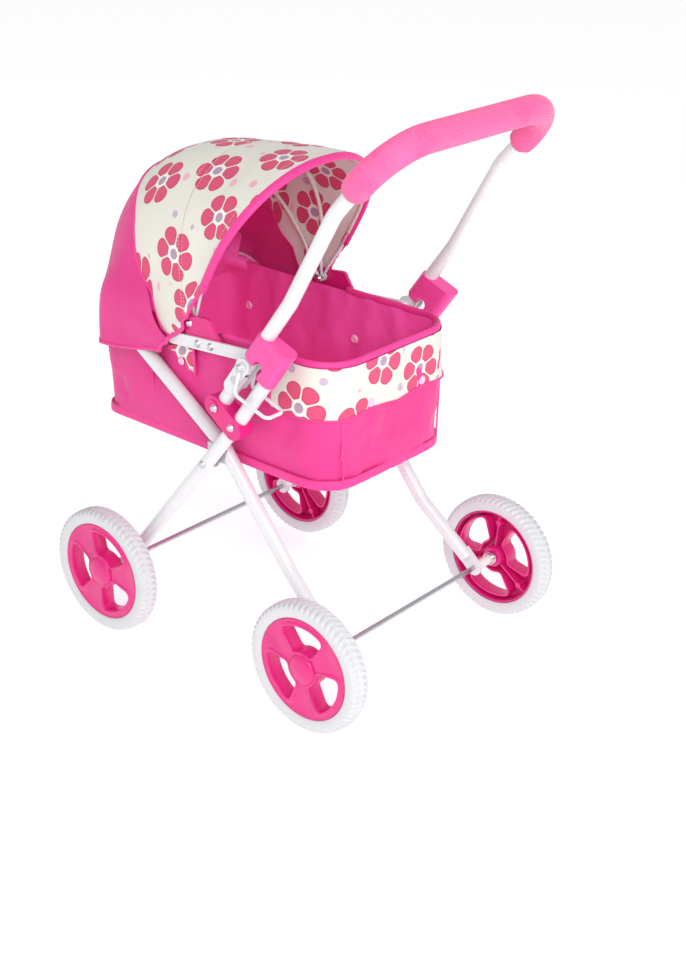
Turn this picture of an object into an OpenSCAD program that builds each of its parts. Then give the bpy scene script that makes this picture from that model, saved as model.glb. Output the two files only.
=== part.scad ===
// Doll pram with a folding tube frame, a fabric bassinet and a folding hood.
// Millimetres. +Z up, -X is the hood end (the front), +X the pusher's end, +Y the right side.
// The origin lies on the ground under the middle of the pram.

/* [Wheels] */
// Rolling radius of a tyre
tyre_r = 72.5; // [66:0.5:80]
// Width of a tyre
tyre_w = 24; // [20:1:28]
// Radius of the hub face, which is also the seat of the tyre
hub_r = 57; // [54:0.5:59]
// Tread blocks round one shoulder of a tyre
tread_blocks = 44; // [30:2:60]
// Depth of the tread cuts
tread_depth = 1.6; // [0.8:0.1:2.2]
// Distance of a wheel's centre plane from the middle of the pram
track_half = 164; // [160:1:172]
// Distance between the front and the rear axle
wheelbase = 305; // [300:1:315]
// Diameter of the axle rods
axle_d = 6; // [5:0.5:7]
// Radius of a hub cap
cap_r = 17; // [14:0.5:19]
// Height of a hub cap over the hub face
cap_rise = 6; // [4:0.5:8]
// Inner radius of the three hub windows
window_ri = 20; // [18.5:0.5:24]
// Outer radius of the three hub windows
window_ro = 48; // [42:0.5:50]

// Turn of the front left wheel
turn_front_left = -22; // [-60:1:60]
// Turn of the front right wheel
turn_front_right = 30; // [-60:1:60]
// Turn of the rear left wheel
turn_rear_left = 2; // [-60:1:60]
// Turn of the rear right wheel
turn_rear_right = 5; // [-60:1:60]

/* [Frame tubes] */
// Outer diameter of the frame tubes
tube_d = 15.5; // [14:0.5:16]
// Wall of the frame tubes
tube_wall = 1; // [0.8:0.1:1.5]
// Bend radius of the frame tubes
bend_r = 30; // [24:1:36]
// Distance of the front legs, posts and handle from the middle plane
outer_plane = 130; // [129.5:0.5:134]
// Distance of the rear legs from the middle plane where they cross the front legs
inner_plane = 113; // [111:0.5:113.5]
// Distance of the rear legs from the middle plane under the hood
head_plane = 108.5; // [108:0.5:111]
// Distance of the rear legs from the middle plane at the axle
foot_plane = 121; // [118:0.5:124]
// Height of the rear frame's cross tube at the hood end
head_tube_z = 371; // [369.5:0.5:374]
// Distance of that cross tube in front of the origin
head_tube_x = 206; // [202:0.5:208]
// Height of the bend where the rear legs cross the front legs
cross_z = 251; // [246:0.5:254]
// Height of the lower bend in the rear legs
knee_z = 137; // [125:1:150]
// Distance of that bend in front of the rear axle
knee_back = 74; // [68:1:80]
// Distance from the crossing bend down to the scissor rivet
cross_drop = 17; // [15:0.5:19]

/* [Handle] */
// Angle of the lower part of the handle
handle_angle = 54.6; // [52:0.2:57]
// Angle of the middle part of the handle
middle_angle = 61.4; // [58:0.2:64]
// Angle of the upper part of the handle
upper_angle = 48.9; // [46:0.2:52]
// Length of the handle from its hinge to the first bend
lower_len = 94.5; // [90:0.5:110]
// Length between the two bends
middle_len = 112.4; // [100:0.2:125]
// Length from the second bend to the cross grip
upper_len = 96.5; // [88:0.5:108]
// Corner radius of the handle's cross part
corner_r = 52; // [44:1:60]
// Outer diameter of the soft grip
grip_d = 28; // [25:0.5:32]
// Length of the grip down each arm
grip_arm = 68; // [60:1:76]

/* [Handle lock] */
// Height of the handle hinge
hinge_z = 362; // [358:0.5:366]
// Distance of the handle hinge behind the origin
hinge_x = 38.5; // [34:0.5:44]
// Distance between the handle's axis and the post's axis
post_gap = 27; // [25:0.5:30]
// Distance from the hinge down to the joint block's rivets
block_drop = 69; // [66:0.5:74]
// Width of the joint block along the tubes
block_w = 23; // [20:0.5:26]
// Overhang of the joint block past the tubes on the inner side
block_lip = 1.6; // [1:0.1:2]
// Wall of the sliding lock sleeve
sleeve_wall = 1.7; // [1.5:0.1:1.9]
// Height of the sleeve's top above the hinge on the handle side
sleeve_top = 42; // [38:0.5:48]
// Rise of the sleeve's top towards the post
sleeve_rise = 12; // [8:0.5:14]
// Wire of the safety bail
bail_wire = 4; // [3:0.5:4.5]

/* [Bassinet] */
// Half width of the bassinet
tub_half = 100.5; // [96:0.5:100.5]
// Distance of the bassinet's foot end behind the origin
tub_foot = 122; // [116:1:126]
// Distance of the bassinet's head end in front of the origin
tub_head = 216; // [212:0.5:217]
// Height of the bassinet's hem over the ground
tub_bottom = 232; // [230:0.5:236]
// Height of the bassinet's rim over the ground
tub_rim = 366; // [360:0.5:367]
// Corner radius at the foot end
tub_foot_r = 42; // [34:1:50]
// Corner radius at the head end
tub_head_r = 22; // [18:1:28]
// Thickness of the padded fabric wall
tub_wall = 3; // [2:0.5:4]
// Height of the printed band under the rim
band_h = 52; // [44:1:58]

/* [Hood] */
// Distance of the hood's pivot in front of the origin
pivot_x = 68; // [66:0.5:72]
// Height of the hood's pivot over the ground
pivot_z = 373; // [372:0.5:378]
// Angle of the front bow
front_bow_angle = 62; // [60:1:66]
// Angle between two bows
bow_step = 35; // [33:1:36]
// Half width of the hood's front section
hood_half = 114; // [112.5:0.5:114.5]
// Radius of the hood's front edge from its pivot
hood_r = 198; // [190:1:204]
// Radius of the hood's middle section from its pivot
hood_low_r = 180; // [176:1:184]
// Step from one hood section to the next
hood_step = 3; // [2.5:0.25:4]
// Thickness of the hood's fabric
hood_wall = 1.6; // [1.2:0.2:2]
// Wire of the hood bows
bow_wire = 3.4; // [3:0.2:4]

/* [Hidden] */
$fn = 48;
eps = 0.01;
fit = 0.08;            // radial clearance of a pin in a turning part
gap = 0.3;             // running gap between sliding faces
rivet_d = 4;           // shank of the frame rivets
head_r = 4.4;          // head of the frame rivets
head_h = 2.2;

front_x = -wheelbase / 2;
rear_x = wheelbase / 2;
tube_r = tube_d / 2;

// the handle hinge and the lock are laid out in a frame whose z runs up the handle
tilt = 90 - handle_angle;
up = [cos(handle_angle), 0, sin(handle_angle)];
out = [sin(handle_angle), 0, -cos(handle_angle)];
hinge = [hinge_x, 0, hinge_z];
function at_lock(p, s) = hinge + p * out + s * up;

stub_top = -12;        // the stub ends here under the handle's lower end
handle_low = -8;
sleeve_low = 11;       // lower edge of the sleeve round the handle
cap_low = 4;           // lower edge of the sleeve round the post
post_top = 10;
cheek_in = tube_r + 0.25;
cheek_t = 2.2;
cheek_out = cheek_in + cheek_t;
sleeve_r = tube_r + 0.15 + sleeve_wall;
bail_y = cheek_out + 0.4 + bail_wire / 2;
pin_out = bail_y + bail_wire / 2 + gap;
rail_t = 3;
rail_w = 13;
rail_y = outer_plane - pin_out - head_h - 0.6 - rail_t;
rail_end = [-92, 352];
bracket_t = 4;
bracket_y = rail_y - bracket_t;

leg_top = at_lock(post_gap, -block_drop - 4);
leg_run = [leg_top[0] - front_x, 0, leg_top[2] - tyre_r];
leg_dir = leg_run / norm(leg_run);
cross_x = -16;
scissor_z = cross_z - cross_drop;
scissor = [front_x + (scissor_z - tyre_r) / leg_dir[2] * leg_dir[0], 0, scissor_z];
lug_t = 3;
lug_y = outer_plane - tube_r - gap - 1.2;   // outer face of the scissor lug

leg_end_t = 5;         // flattened leg ends
leg_end_r = 9;
hub_in = 10.5;         // inner end of the hub's boss from the wheel's centre plane
hub_face = 9.9;

handle_pts = let (
    a = hinge + handle_low * up,
    b = hinge + lower_len * up,
    c = b + middle_len * [cos(middle_angle), 0, sin(middle_angle)],
    d = c + upper_len * [cos(upper_angle), 0, sin(upper_angle)]) [a, b, c, d];
side_v = [0, outer_plane, 0];

// ---------------------------------------------------------------- helpers

// Everything is modelled for the right side; the left side is its mirror image.
module left() mirror([0, 1, 0]) children();

// Puts [p, y, s] coordinates on the handle hinge: p away from the handle, s up the handle.
module lock_frame() translate(hinge) rotate([0, tilt, 0]) children();

// A cylinder along +Y that starts at [x, y, z].
module pin_y(x, y, z, r, h) translate([x, y, z]) rotate([-90, 0, 0]) cylinder(r = r, h = h);

// A frame with its z along v, for a length of tube that starts at p.
module along(p, v) {
    yaw = atan2(v[1], v[0]);
    pitch = acos(v[2] / norm(v));
    translate(p) rotate([0, pitch, yaw]) children();
}

function unit(v) = v / norm(v);
function bend_angle(u, v) = acos(max(-1, min(1, u * v)));
function rounded(a) = round(a * 1000) / 1000;
function side_of(u, v) = unit(v - (u * v) * u);

// A round tube or rod through points, with an exact elbow at each inner point. Each length is laid out
// in the frame of the length before it, so that the ends meet face to face.
module tube_run(pts, radii, r, ri = 0) {
    n = len(pts) - 1;
    u = [for (i = [0 : n - 1]) unit(pts[i + 1] - pts[i])];
    a = [for (i = [1 : 1 : n - 1]) rounded(bend_angle(u[i - 1], u[i]))];
    e = n < 2 ? [[1, 0, 0]] : [for (i = [1 : n - 1]) side_of(u[i - 1], u[i])];
    t = concat([0], [for (i = [1 : 1 : n - 1]) radii[i] * tan(a[i - 1] / 2)], [0]);
    h = [for (i = [0 : n - 1]) norm(pts[i + 1] - pts[i]) - t[i] - t[i + 1]];
    yaw = atan2(u[0][1], u[0][0]);
    pitch = acos(u[0][2]);
    x0 = [cos(yaw) * cos(pitch), sin(yaw) * cos(pitch), -sin(pitch)];
    // the side of each bend's plane as the length before it leaves it
    side = concat([x0], [for (i = [0 : 1 : n - 3]) cos(a[i]) * e[i] - sin(a[i]) * u[i]]);
    roll = n < 2 ? [0] : [for (i = [0 : n - 2]) rounded(atan2(cross(side[i], e[i]) * u[i], side[i] * e[i]))];
    along(pts[0], u[0]) tube_step(h, a, roll, radii, r, ri, 0);
}
module tube_step(h, a, roll, radii, r, ri, i) rotate([0, 0, i < len(a) ? roll[i] : 40]) {
    z0 = i > 0 ? 0.05 : 0;
    z1 = i < len(a) ? h[i] - 0.05 : h[i];
    translate([0, 0, z0]) ring(r, ri, z1 - z0);
    if (i > 0) collar(r, ri);
    if (i < len(a)) translate([0, 0, h[i]]) collar(r, ri);
    if (i < len(a)) translate([radii[i + 1], 0, h[i]]) {
        rotate([90, 0, 180]) rotate_extrude(angle = a[i]) translate([radii[i + 1], 0]) difference() {
            circle(r = r);
            if (ri > 0) circle(r = ri);
        }
        rotate([0, a[i], 0]) translate([-radii[i + 1], 0, 0]) tube_step(h, a, roll, radii, r, ri, i + 1);
    }
}
module ring(r, ri, h) difference() {
    cylinder(r = r, h = h);
    if (ri > 0) translate([0, 0, -1]) cylinder(r = ri, h = h + 2);
}
// The weld between a straight length and an elbow, a hair over the tube's own surface.
module collar(r, ri) translate([0, 0, -0.3]) ring(r + 0.02, ri > 0 ? ri - 0.02 : 0, 0.6);

// A rounded rectangle between x0 and x1: corner radius rf at x1 and rb at x0.
module tub_plan(x0, x1, hw, rf, rb) {
    for (s = [-1, 1]) {
        translate([x1 - rf, s * (hw - rf)]) circle(r = rf);
        translate([x0 + rb, s * (hw - rb)]) circle(r = rb);
    }
    translate([x0 + rb, -hw]) square([x1 - rf - x0 - rb, 2 * hw]);
    translate([x1 - rf - eps, rf - hw]) square([rf + eps, 2 * (hw - rf)]);
    translate([x0, rb - hw]) square([rb + eps, 2 * (hw - rb)]);
}

function polar(r, a) = r * [cos(a), sin(a)];

// A ring sector with rounded corners, for the hub windows.
function window_side(ri, ro, half, c) = let (
    a_in = half - asin(c / (ri + c)),
    a_out = half - asin(c / (ro - c)))
    concat([for (i = [0 : 3]) polar(ro, i * a_out / 3)],
           [for (i = [1 : 4]) polar(ro - c, a_out) + polar(c, a_out + i / 4 * (half + 90 - a_out))],
           [for (i = [0 : 4]) polar(ri + c, a_in) + polar(c, half + 90 + i / 4 * (a_in + 90 - half))],
           [for (i = [1 : 2]) polar(ri, a_in * (1 - i / 2))]);
module window_plan(ri, ro, half, c) {
    side = window_side(ri, ro, half, c);
    n = len(side);
    polygon(concat(side, [for (i = [n - 2 : -1 : 1]) [side[i][0], -side[i][1]]]));
}

// A rivet along +Y through [x, z] from y0 to y1 with a low cone head on each end.
module rivet(x, z, y0, y1) {
    pin_y(x, y0, z, rivet_d / 2, y1 - y0);
    translate([x, y1, z]) rotate([-90, 0, 0]) cylinder(r1 = head_r, r2 = head_r * 0.6, h = head_h);
    translate([x, y0, z]) rotate([90, 0, 0]) cylinder(r1 = head_r, r2 = head_r * 0.6, h = head_h);
}

// The flattened end of a leg: a plate with a hole on the axle, at y, rising along dir.
module leg_end(x, y, dir) translate([x, y, tyre_r]) rotate([0, 90 - atan2(dir[2], dir[0]), 0]) difference() {
    t = leg_end_t;
    union() {
        rotate([0, 90, 0]) rotate([-90, 0, 0]) translate([0, 0, -t / 2]) cylinder(r = leg_end_r, h = t);
        translate([-leg_end_r, -t / 2, 0]) cube([2 * leg_end_r, t, 24]);
    }
    rotate([0, 90, 0]) pin_y(0, -t, 0, axle_d / 2, 2 * t);
}

// ---------------------------------------------------------------- rear frame and bassinet

rear_pts = let (
    head = [-head_tube_x, head_plane, head_tube_z],
    bend = [cross_x, inner_plane, cross_z],
    knee = [rear_x - knee_back, inner_plane, knee_z],
    foot = [rear_x, foot_plane, tyre_r],
    last = unit(foot - knee)) [head, bend, knee, foot - 14 * last];

module rear_leg_frame() color("white") {
    mirrored = [for (p = rear_pts) [p[0], -p[1], p[2]]];
    path = concat([for (i = [3 : -1 : 0]) mirrored[i]], rear_pts);
    radii = [0, 60, 45, bend_r, bend_r, 45, 60, 0];
    tube_run(path, radii, tube_r, tube_r - tube_wall);
    last = unit([rear_x, foot_plane, tyre_r] - rear_pts[2]);
    for (s = [-1, 1]) mirror([0, s < 0 ? 1 : 0, 0]) leg_end(rear_x, foot_plane, -last);
}

module axle(x) color("gainsboro") {
    tip = track_half + hub_face + 2.4;
    pin_y(x, -tip, tyre_r, axle_d / 2, 2 * tip);
    for (s = [-1, 1])
        pin_y(x, s * (track_half + hub_face + 1.4) - 0.8, tyre_r, axle_d / 2 + 3, 1.6);
}

module bush(x, leg_y) color("white") {
    y0 = leg_y + leg_end_t / 2;
    difference() {
        pin_y(x, y0, tyre_r, axle_d / 2 + 2.4, track_half - hub_in - gap - y0);
        pin_y(x, y0 - 1, tyre_r, axle_d / 2, track_half);
    }
}

module scissor_lug() color("silver") difference() {
    y0 = lug_y - lug_t;
    union() {
        pin_y(scissor[0], y0, scissor[2], 8, lug_t);
        translate([scissor[0] - 8, y0, scissor[2]]) cube([26, lug_t, cross_z - scissor[2] + 2]);
    }
    pin_y(scissor[0], y0 - 1, scissor[2], rivet_d / 2 + fit, lug_t + 2);
    tube_run([rear_pts[0], rear_pts[1], rear_pts[2]], [0, 45, 0], tube_r);
}

// The flat rail from the handle hinge to the hood bracket.
module side_rail() color("white") {
    d = [hinge_x - rail_end[0], hinge_z - rail_end[1]];
    a = atan2(d[1], d[0]);
    difference() {
        translate([rail_end[0], rail_y, rail_end[1]]) rotate([0, -a, 0]) {
            translate([0, 0, -rail_w / 2]) cube([norm(d), rail_t, rail_w]);
            for (x = [0, norm(d)]) pin_y(x, 0, 0, rail_w / 2, rail_t);
        }
        for (x = [-53, -34]) pin_y(x, rail_y - 1, rail_z(x), rivet_d / 2, rail_t + 2);
    }
}
function rail_z(x) = rail_end[1] + (x - rail_end[0]) * (hinge_z - rail_end[1]) / (hinge_x - rail_end[0]);

module hood_bracket() color("hotpink") difference() {
    translate([0, bracket_y + bracket_t, 0]) rotate([90, 0, 0]) linear_extrude(bracket_t) {
        translate([-pivot_x, pivot_z]) circle(r = 9.5);
        translate([-42, 378]) circle(r = 6);
        polygon([[-pivot_x - 9, pivot_z - 3], [-66, rail_z(-66) - 6], [-24, rail_z(-24) - 6],
                 [-24, rail_z(-24) + 5], [-37, 381], [-44, 384], [-pivot_x + 4, pivot_z + 8.6]]);
    }
    for (x = [-53, -34]) pin_y(x, bracket_y - 1, rail_z(x), rivet_d / 2, bracket_t + 2);
    pin_y(-pivot_x, bracket_y - 1, pivot_z, rivet_d / 2, bracket_t + 2);
}

bow_y = [bracket_y - 0.4 - bow_wire / 2, bracket_y - 0.8 - 1.5 * bow_wire, bracket_y - 1.2 - 2.5 * bow_wire];

module bracket_rivets() color("silver")
    for (s = [-1, 1]) mirror([0, s < 0 ? 1 : 0, 0]) {
        for (x = [-53, -34]) rivet(x, rail_z(x), bracket_y, rail_y + rail_t);
        rivet(-pivot_x, pivot_z, bow_y[2] - bow_wire / 2 - gap, bracket_y + bracket_t);
    }

module bassinet_tub() color("deeppink") difference() {
    union() {
        translate([0, 0, tub_bottom]) linear_extrude(tub_rim - tub_bottom)
            tub_plan(-tub_head, tub_foot, tub_half, tub_foot_r, tub_head_r);
        translate([0, 0, tub_bottom]) linear_extrude(5)
            tub_plan(-tub_head - 1.5, tub_foot + 1.5, tub_half + 1.5, tub_foot_r, tub_head_r);
    }
    translate([0, 0, tub_bottom + tub_wall]) linear_extrude(tub_rim)
        tub_plan(-tub_head + tub_wall, tub_foot - tub_wall, tub_half - tub_wall,
                 tub_foot_r - tub_wall, tub_head_r - tub_wall);
    // the head end stops under the cross tube and its bends
    translate([-tub_head - 5, -200, head_tube_z - 2 * tube_r - 3]) cube([75, 400, 50]);
}

module base_board() color("violet")
    translate([0, 0, tub_bottom + tub_wall]) linear_extrude(5)
        tub_plan(-tub_head + tub_wall, tub_foot - tub_wall, tub_half - tub_wall,
                 tub_foot_r - tub_wall, tub_head_r - tub_wall);

// Folded binding over the rim from bracket to bracket round the foot end.
module rim_binding() color("hotpink") intersection() {
    translate([0, 0, tub_rim]) linear_extrude(3.5) difference() {
        tub_plan(-tub_head, tub_foot + 1, tub_half + 1, tub_foot_r + 1, tub_head_r);
        tub_plan(-tub_head + tub_wall + 1, tub_foot - tub_wall - 1, tub_half - tub_wall - 1,
                 tub_foot_r - tub_wall - 1, tub_head_r);
    }
    translate([-20, -200, 0]) cube([400, 400, 1000]);
}

module printed_band() color("ivory") intersection() {
    translate([0, 0, tub_rim - band_h]) linear_extrude(band_h) difference() {
        tub_plan(-tub_head, tub_foot + 1.5, tub_half + 1.5, tub_foot_r + 1.5, tub_head_r);
        tub_plan(-tub_head, tub_foot, tub_half, tub_foot_r, tub_head_r);
    }
    translate([44, -200, 0]) cube([400, 400, 1000]);
}

// Press studs: two on the foot end of the band, one on each side wall.
module snap_buttons() color("mistyrose") {
    for (y = [-42, 42]) translate([tub_foot + 1.5, y, tub_rim - band_h + 6]) rotate([0, 90, 0])
        cylinder(r1 = 4.5, r2 = 3.5, h = 1.6);
    for (s = [-1, 1], x = [-110, 10]) mirror([0, s < 0 ? 1 : 0, 0])
        translate([x, tub_half - tub_wall, 315]) rotate([90, 0, 0]) cylinder(r1 = 4.5, r2 = 3.5, h = 1.6);
}

// ---------------------------------------------------------------- hood

// Outline of a hood section: radius from the pivot's axis and y, with straight sides and a round top.
module arch(w, top, low) {
    rc = 0.94 * w;
    for (s = [-1, 1]) translate([top - rc, s * (w - rc)]) intersection() {
        circle(r = rc);
        translate([0, s < 0 ? -rc : 0]) square(rc);
    }
    translate([top - rc, rc - w]) square([rc, 2 * (w - rc)]);
    translate([low, -w]) square([top - rc - low, 2 * w]);
}

module canopy_middle() color("ivory")
    translate([-pivot_x, 0, pivot_z]) rotate([90, 0, 0])
        rotate([0, 0, front_bow_angle + bow_step - 1]) rotate_extrude(angle = bow_step + 1) difference() {
            arch(hood_half - hood_step, hood_low_r, 32);
            arch(hood_half - hood_step - hood_wall, hood_low_r - hood_wall, 31);
        }

// A filled arch that stands on the pivot at angle a.
module arch_slab(a, w, top, low) translate([-pivot_x, 0, pivot_z]) rotate([90, 0, 0]) rotate([0, 0, a])
    rotate([90, 0, 0]) linear_extrude(0.2) arch(w, top, low);

// The front section spreads towards its bow, and its back edge passes over the middle section.
module front_form(d) hull() {
    over = d > 0 ? 0.5 : 0;
    low = d > 0 ? 31 : 32;
    arch_slab(front_bow_angle - 1 - over, hood_half - d, hood_r - d, low);
    arch_slab(front_bow_angle + bow_step / 2, hood_half - d, hood_low_r + 1.5 * hood_step - d, low);
    arch_slab(front_bow_angle + bow_step + over, hood_half - d, hood_low_r + 1.5 * hood_step - d, low);
}
module canopy_front() color("ivory") difference() {
    front_form(0);
    front_form(hood_wall);
}

// A bow: a wire arch in the plane that stands at angle a on the pivot, with an eye at each foot.
module bow(a, y, w, top) translate([-pivot_x, 0, pivot_z]) rotate([0, -a, 0]) difference() {
    foot = 42;
    r = 0.94 * w;
    union() {
        tube_run([[0, y, 0], [14, y, 0], [foot, w, 0], [top, w, 0],
                  [top, -w, 0], [foot, -w, 0], [14, -y, 0], [0, -y, 0]],
                 [0, 20, 20, r, r, 20, 20, 0], bow_wire / 2);
        for (s = [-1, 1]) pin_y(0, s * y - eye_t(bow_wire) / 2, 0, rivet_d / 2 + 2.5, eye_t(bow_wire));
    }
    pin_y(0, -200, 0, rivet_d / 2 + fit, 400);
}
function eye_t(wire) = wire - 0.6;

bow_in = hood_wall + gap + bow_wire / 2;   // from a section's outside to its bow's axis
module hood_bow_front() color("white")
    bow(front_bow_angle, bow_y[0], hood_half - bow_in,
        hood_r - bow_in - 0.16 * (hood_r - hood_low_r));
module hood_bow_middle() color("white")
    bow(front_bow_angle + bow_step, bow_y[1], hood_half - hood_step - bow_in, hood_low_r - bow_in);
module hood_bow_rear() color("white")
    bow(front_bow_angle + 2 * bow_step - 1, bow_y[2], hood_half - 2 * hood_step - bow_in,
        hood_low_r - hood_step - bow_in);

// Fabric behind the rear bow: it runs down over the cross tube to a hem round the head end.
hem_z = 319;
hem_x = -112;
cover_half = outer_plane - sleeve_r - 0.5;
cover_r = 24;
cover_lift = 8;            // the skirt rises this far above the hood's pivot, over the head tube
fold_room = 32;            // the arch goes on by this angle under the middle section as it folds
module cover_slab(z, h, x0, half)
    translate([0, 0, z]) linear_extrude(h) tub_plan(x0, hem_x, half, 4, cover_r);

// The pink back: an arch like the hood's above, and a skirt round the bassinet's head below.
module rear_form(d) {
    half = hood_half - 2 * hood_step - d;
    start = front_bow_angle + 2 * bow_step;
    x0 = -head_tube_x - 16 + d;
    low = hem_z - (d > 0 ? 2 : 0);
    hull() for (a = [0 : 4]) rear_slab(start + a / 4 * fold_room, half, d, x0);
    hull() {
        rear_slab(start + fold_room, half, d, x0);
        cover_slab(low, pivot_z + cover_lift - 1.1 * d - low, x0 - 1, cover_half - d);
    }
}
module rear_slab(a, half, d, x0) intersection() {
    arch_slab(a, half, hood_low_r - hood_step - d, 32 - d);
    translate([x0, -200, 0]) cube([400, 400, 800]);
}
module hood_rear_panel() color("deeppink") difference() {
    rear_form(0);
    rear_form(hood_wall);
    translate([hem_x - 1, -200, 0]) cube([400, 400, 800]);
}

// ---------------------------------------------------------------- front frame

module front_leg() color("white") difference() {
    union() {
        tube_run([[front_x, outer_plane, tyre_r] + 12 * leg_dir, leg_top + side_v], [0, 0],
            tube_r, tube_r - tube_wall);
        leg_end(front_x, outer_plane, leg_dir);
    }
    pin_y(scissor[0], 0, scissor[2], rivet_d / 2, 300);
}

module scissor_rivet() color("silver")
    rivet(scissor[0], scissor[2], lug_y - lug_t - gap, outer_plane + tube_r);

// Moulded block that takes the front leg from below and the post and stub from above.
module joint_block() color("hotpink") difference() {
    y0 = outer_plane - tube_r - block_lip;
    t = 2 * tube_r + block_lip + 2.5;
    lock_frame() translate([0, y0, -block_drop]) {
        translate([-3, 0, -block_w / 2]) cube([post_gap + 6, t, block_w]);
        for (p = [-3, post_gap + 3]) pin_y(p, 0, 0, block_w / 2, t);
        pin_y(-3, t - eps, 0, 7, 1.2);
    }
    lock_frame() for (p = [0, post_gap])
        translate([p, outer_plane, -block_drop + 3]) cylinder(r = tube_r, h = 40);
    along([front_x, outer_plane, tyre_r], leg_dir) cylinder(r = tube_r, h = norm(leg_run));
    for (p = [0, post_gap]) lock_frame() pin_y(p, 0, -block_drop, rivet_d / 2, 300);
}

module block_rivets() color("silver")
    for (s = [-1, 1], p = [0, post_gap]) mirror([0, s < 0 ? 1 : 0, 0]) lock_frame()
        rivet(p, -block_drop, outer_plane - tube_r - block_lip, outer_plane + tube_r + (p > 0 ? 2.5 : 3.7));

module lock_post() color("white") lock_frame() translate([post_gap, outer_plane, 0]) {
    translate([0, 0, -block_drop + 3]) difference() {
        cylinder(r = tube_r, h = block_drop - 3 + post_top - 3);
        translate([0, 0, -1]) cylinder(r = tube_r - tube_wall, h = block_drop - 3 + post_top - 3);
    }
    translate([0, 0, post_top - 3]) cylinder(r1 = tube_r, r2 = tube_r - 2.5, h = 3);
}

module pivot_stub() color("white") lock_frame() difference() {
    translate([0, outer_plane, -block_drop + 3]) difference() {
        cylinder(r = tube_r, h = block_drop - 3 + stub_top);
        translate([0, 0, -1]) cylinder(r = tube_r - tube_wall, h = block_drop + stub_top);
    }
    pin_y(0, 0, stub_top - 9, rivet_d / 2, 300);
}

// Two flat cheeks that carry the handle hinge above the stub.
module fork_plates() color("white") lock_frame() difference() {
    for (y = [outer_plane - cheek_out, outer_plane + cheek_in]) translate([0, y, 0]) {
        pin_y(0, 0, 0, 9, cheek_t);
        translate([-7.5, 0, stub_top - 20]) cube([15, cheek_t, 20 - stub_top]);
        pin_y(0, 0, stub_top - 20, 7.5, cheek_t);
    }
    for (s = [0, stub_top - 9]) pin_y(0, 0, s, rivet_d / 2, 300);
}

// The hinge pin, and below it a rivet with thin flat heads, which the bail's wires pass over.
module hinge_pin() color("silver") lock_frame() {
    flat = 0.25;
    rivet(0, 0, outer_plane - pin_out, outer_plane + pin_out);
    pin_y(0, outer_plane - cheek_out - flat / 2, stub_top - 9, rivet_d / 2, 2 * cheek_out + flat);
    for (y = [-cheek_out - flat, cheek_out]) pin_y(0, outer_plane + y, stub_top - 9, head_r, flat);
}

// ---------------------------------------------------------------- handle and lock

module handle_tube() color("white") difference() {
    arm = [for (p = handle_pts) p + side_v];
    path = concat([for (p = arm) [p[0], -p[1], p[2]]], [for (i = [3 : -1 : 0]) arm[i]]);
    tube_run(path, [0, 60, 60, corner_r, corner_r, 60, 60, 0], tube_r, tube_r - tube_wall);
    pin_y(hinge[0], -200, hinge[2], rivet_d / 2 + fit, 400);
}

// Soft ribbed grip over the cross part and down both arms.
module handle_grip() color("hotpink") {
    arm = [handle_pts[3] - grip_arm * unit(handle_pts[3] - handle_pts[2]) + side_v, handle_pts[3] + side_v];
    path = concat([for (p = arm) [p[0], -p[1], p[2]]], [arm[1], arm[0]]);
    tube_run(path, [0, corner_r, corner_r, 0], grip_d / 2, tube_r);
}

module lock_sleeve() color("hotpink") lock_frame() translate([0, outer_plane, 0]) difference() {
    top = sleeve_top + sleeve_rise;
    union() {
        for (p = [0, post_gap]) translate([p, 0, cap_low]) cylinder(r = sleeve_r, h = top);
        translate([0, -sleeve_r, cap_low]) cube([post_gap, 2 * sleeve_r, top]);
    }
    // the handle side starts higher than the post side, with an arch between them
    translate([-20, -20, cap_low - 1]) cube([20 + post_gap / 2, 40, sleeve_low - cap_low + 1]);
    pin_y(post_gap / 2, -20, sleeve_low + 4, post_gap / 2 - tube_r + 0.5, 40);
    translate([post_gap / 2 - 5.5, -20, 0]) cube([11, 40, sleeve_low + 4]);
    // sloping top
    translate([-sleeve_r, -20, sleeve_top]) rotate([0, -atan(sleeve_rise / (post_gap + 2 * sleeve_r)), 0])
        translate([-20, 0, 0]) cube([120, 40, 60]);
    translate([0, 0, -1]) cylinder(r = tube_r + 0.15, h = 200);
    translate([post_gap, 0, cap_low - 1]) cylinder(r = tube_r + 0.8, h = sleeve_top - cap_low - 1);
}

module lock_bail() color("white") lock_frame() difference() {
    e = [10.5, 0, -30.6];
    f = [55, 0, -16.5];
    o = [0, outer_plane + bail_y, 0];
    i = [0, outer_plane - bail_y, 0];
    union() {
        tube_run([o, e + o, f + o, f + i, e + i, i], [0, 6, 6, 6, 6, 0], bail_wire / 2);
        for (c = [o, i]) translate(c - [0, eye_t(bail_wire) / 2, 0])
            pin_y(0, 0, 0, rivet_d / 2 + 2.5, eye_t(bail_wire));
    }
    pin_y(0, 0, 0, rivet_d / 2 + fit, 300);
}

// ---------------------------------------------------------------- wheels

// Profiles are [radius, distance from the centre plane], the outer face positive.
module wheel(x, s, turn = 0)
    translate([x, s * track_half, tyre_r]) rotate([-90 * s, 0, 0]) rotate([0, 0, turn]) children();

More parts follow.
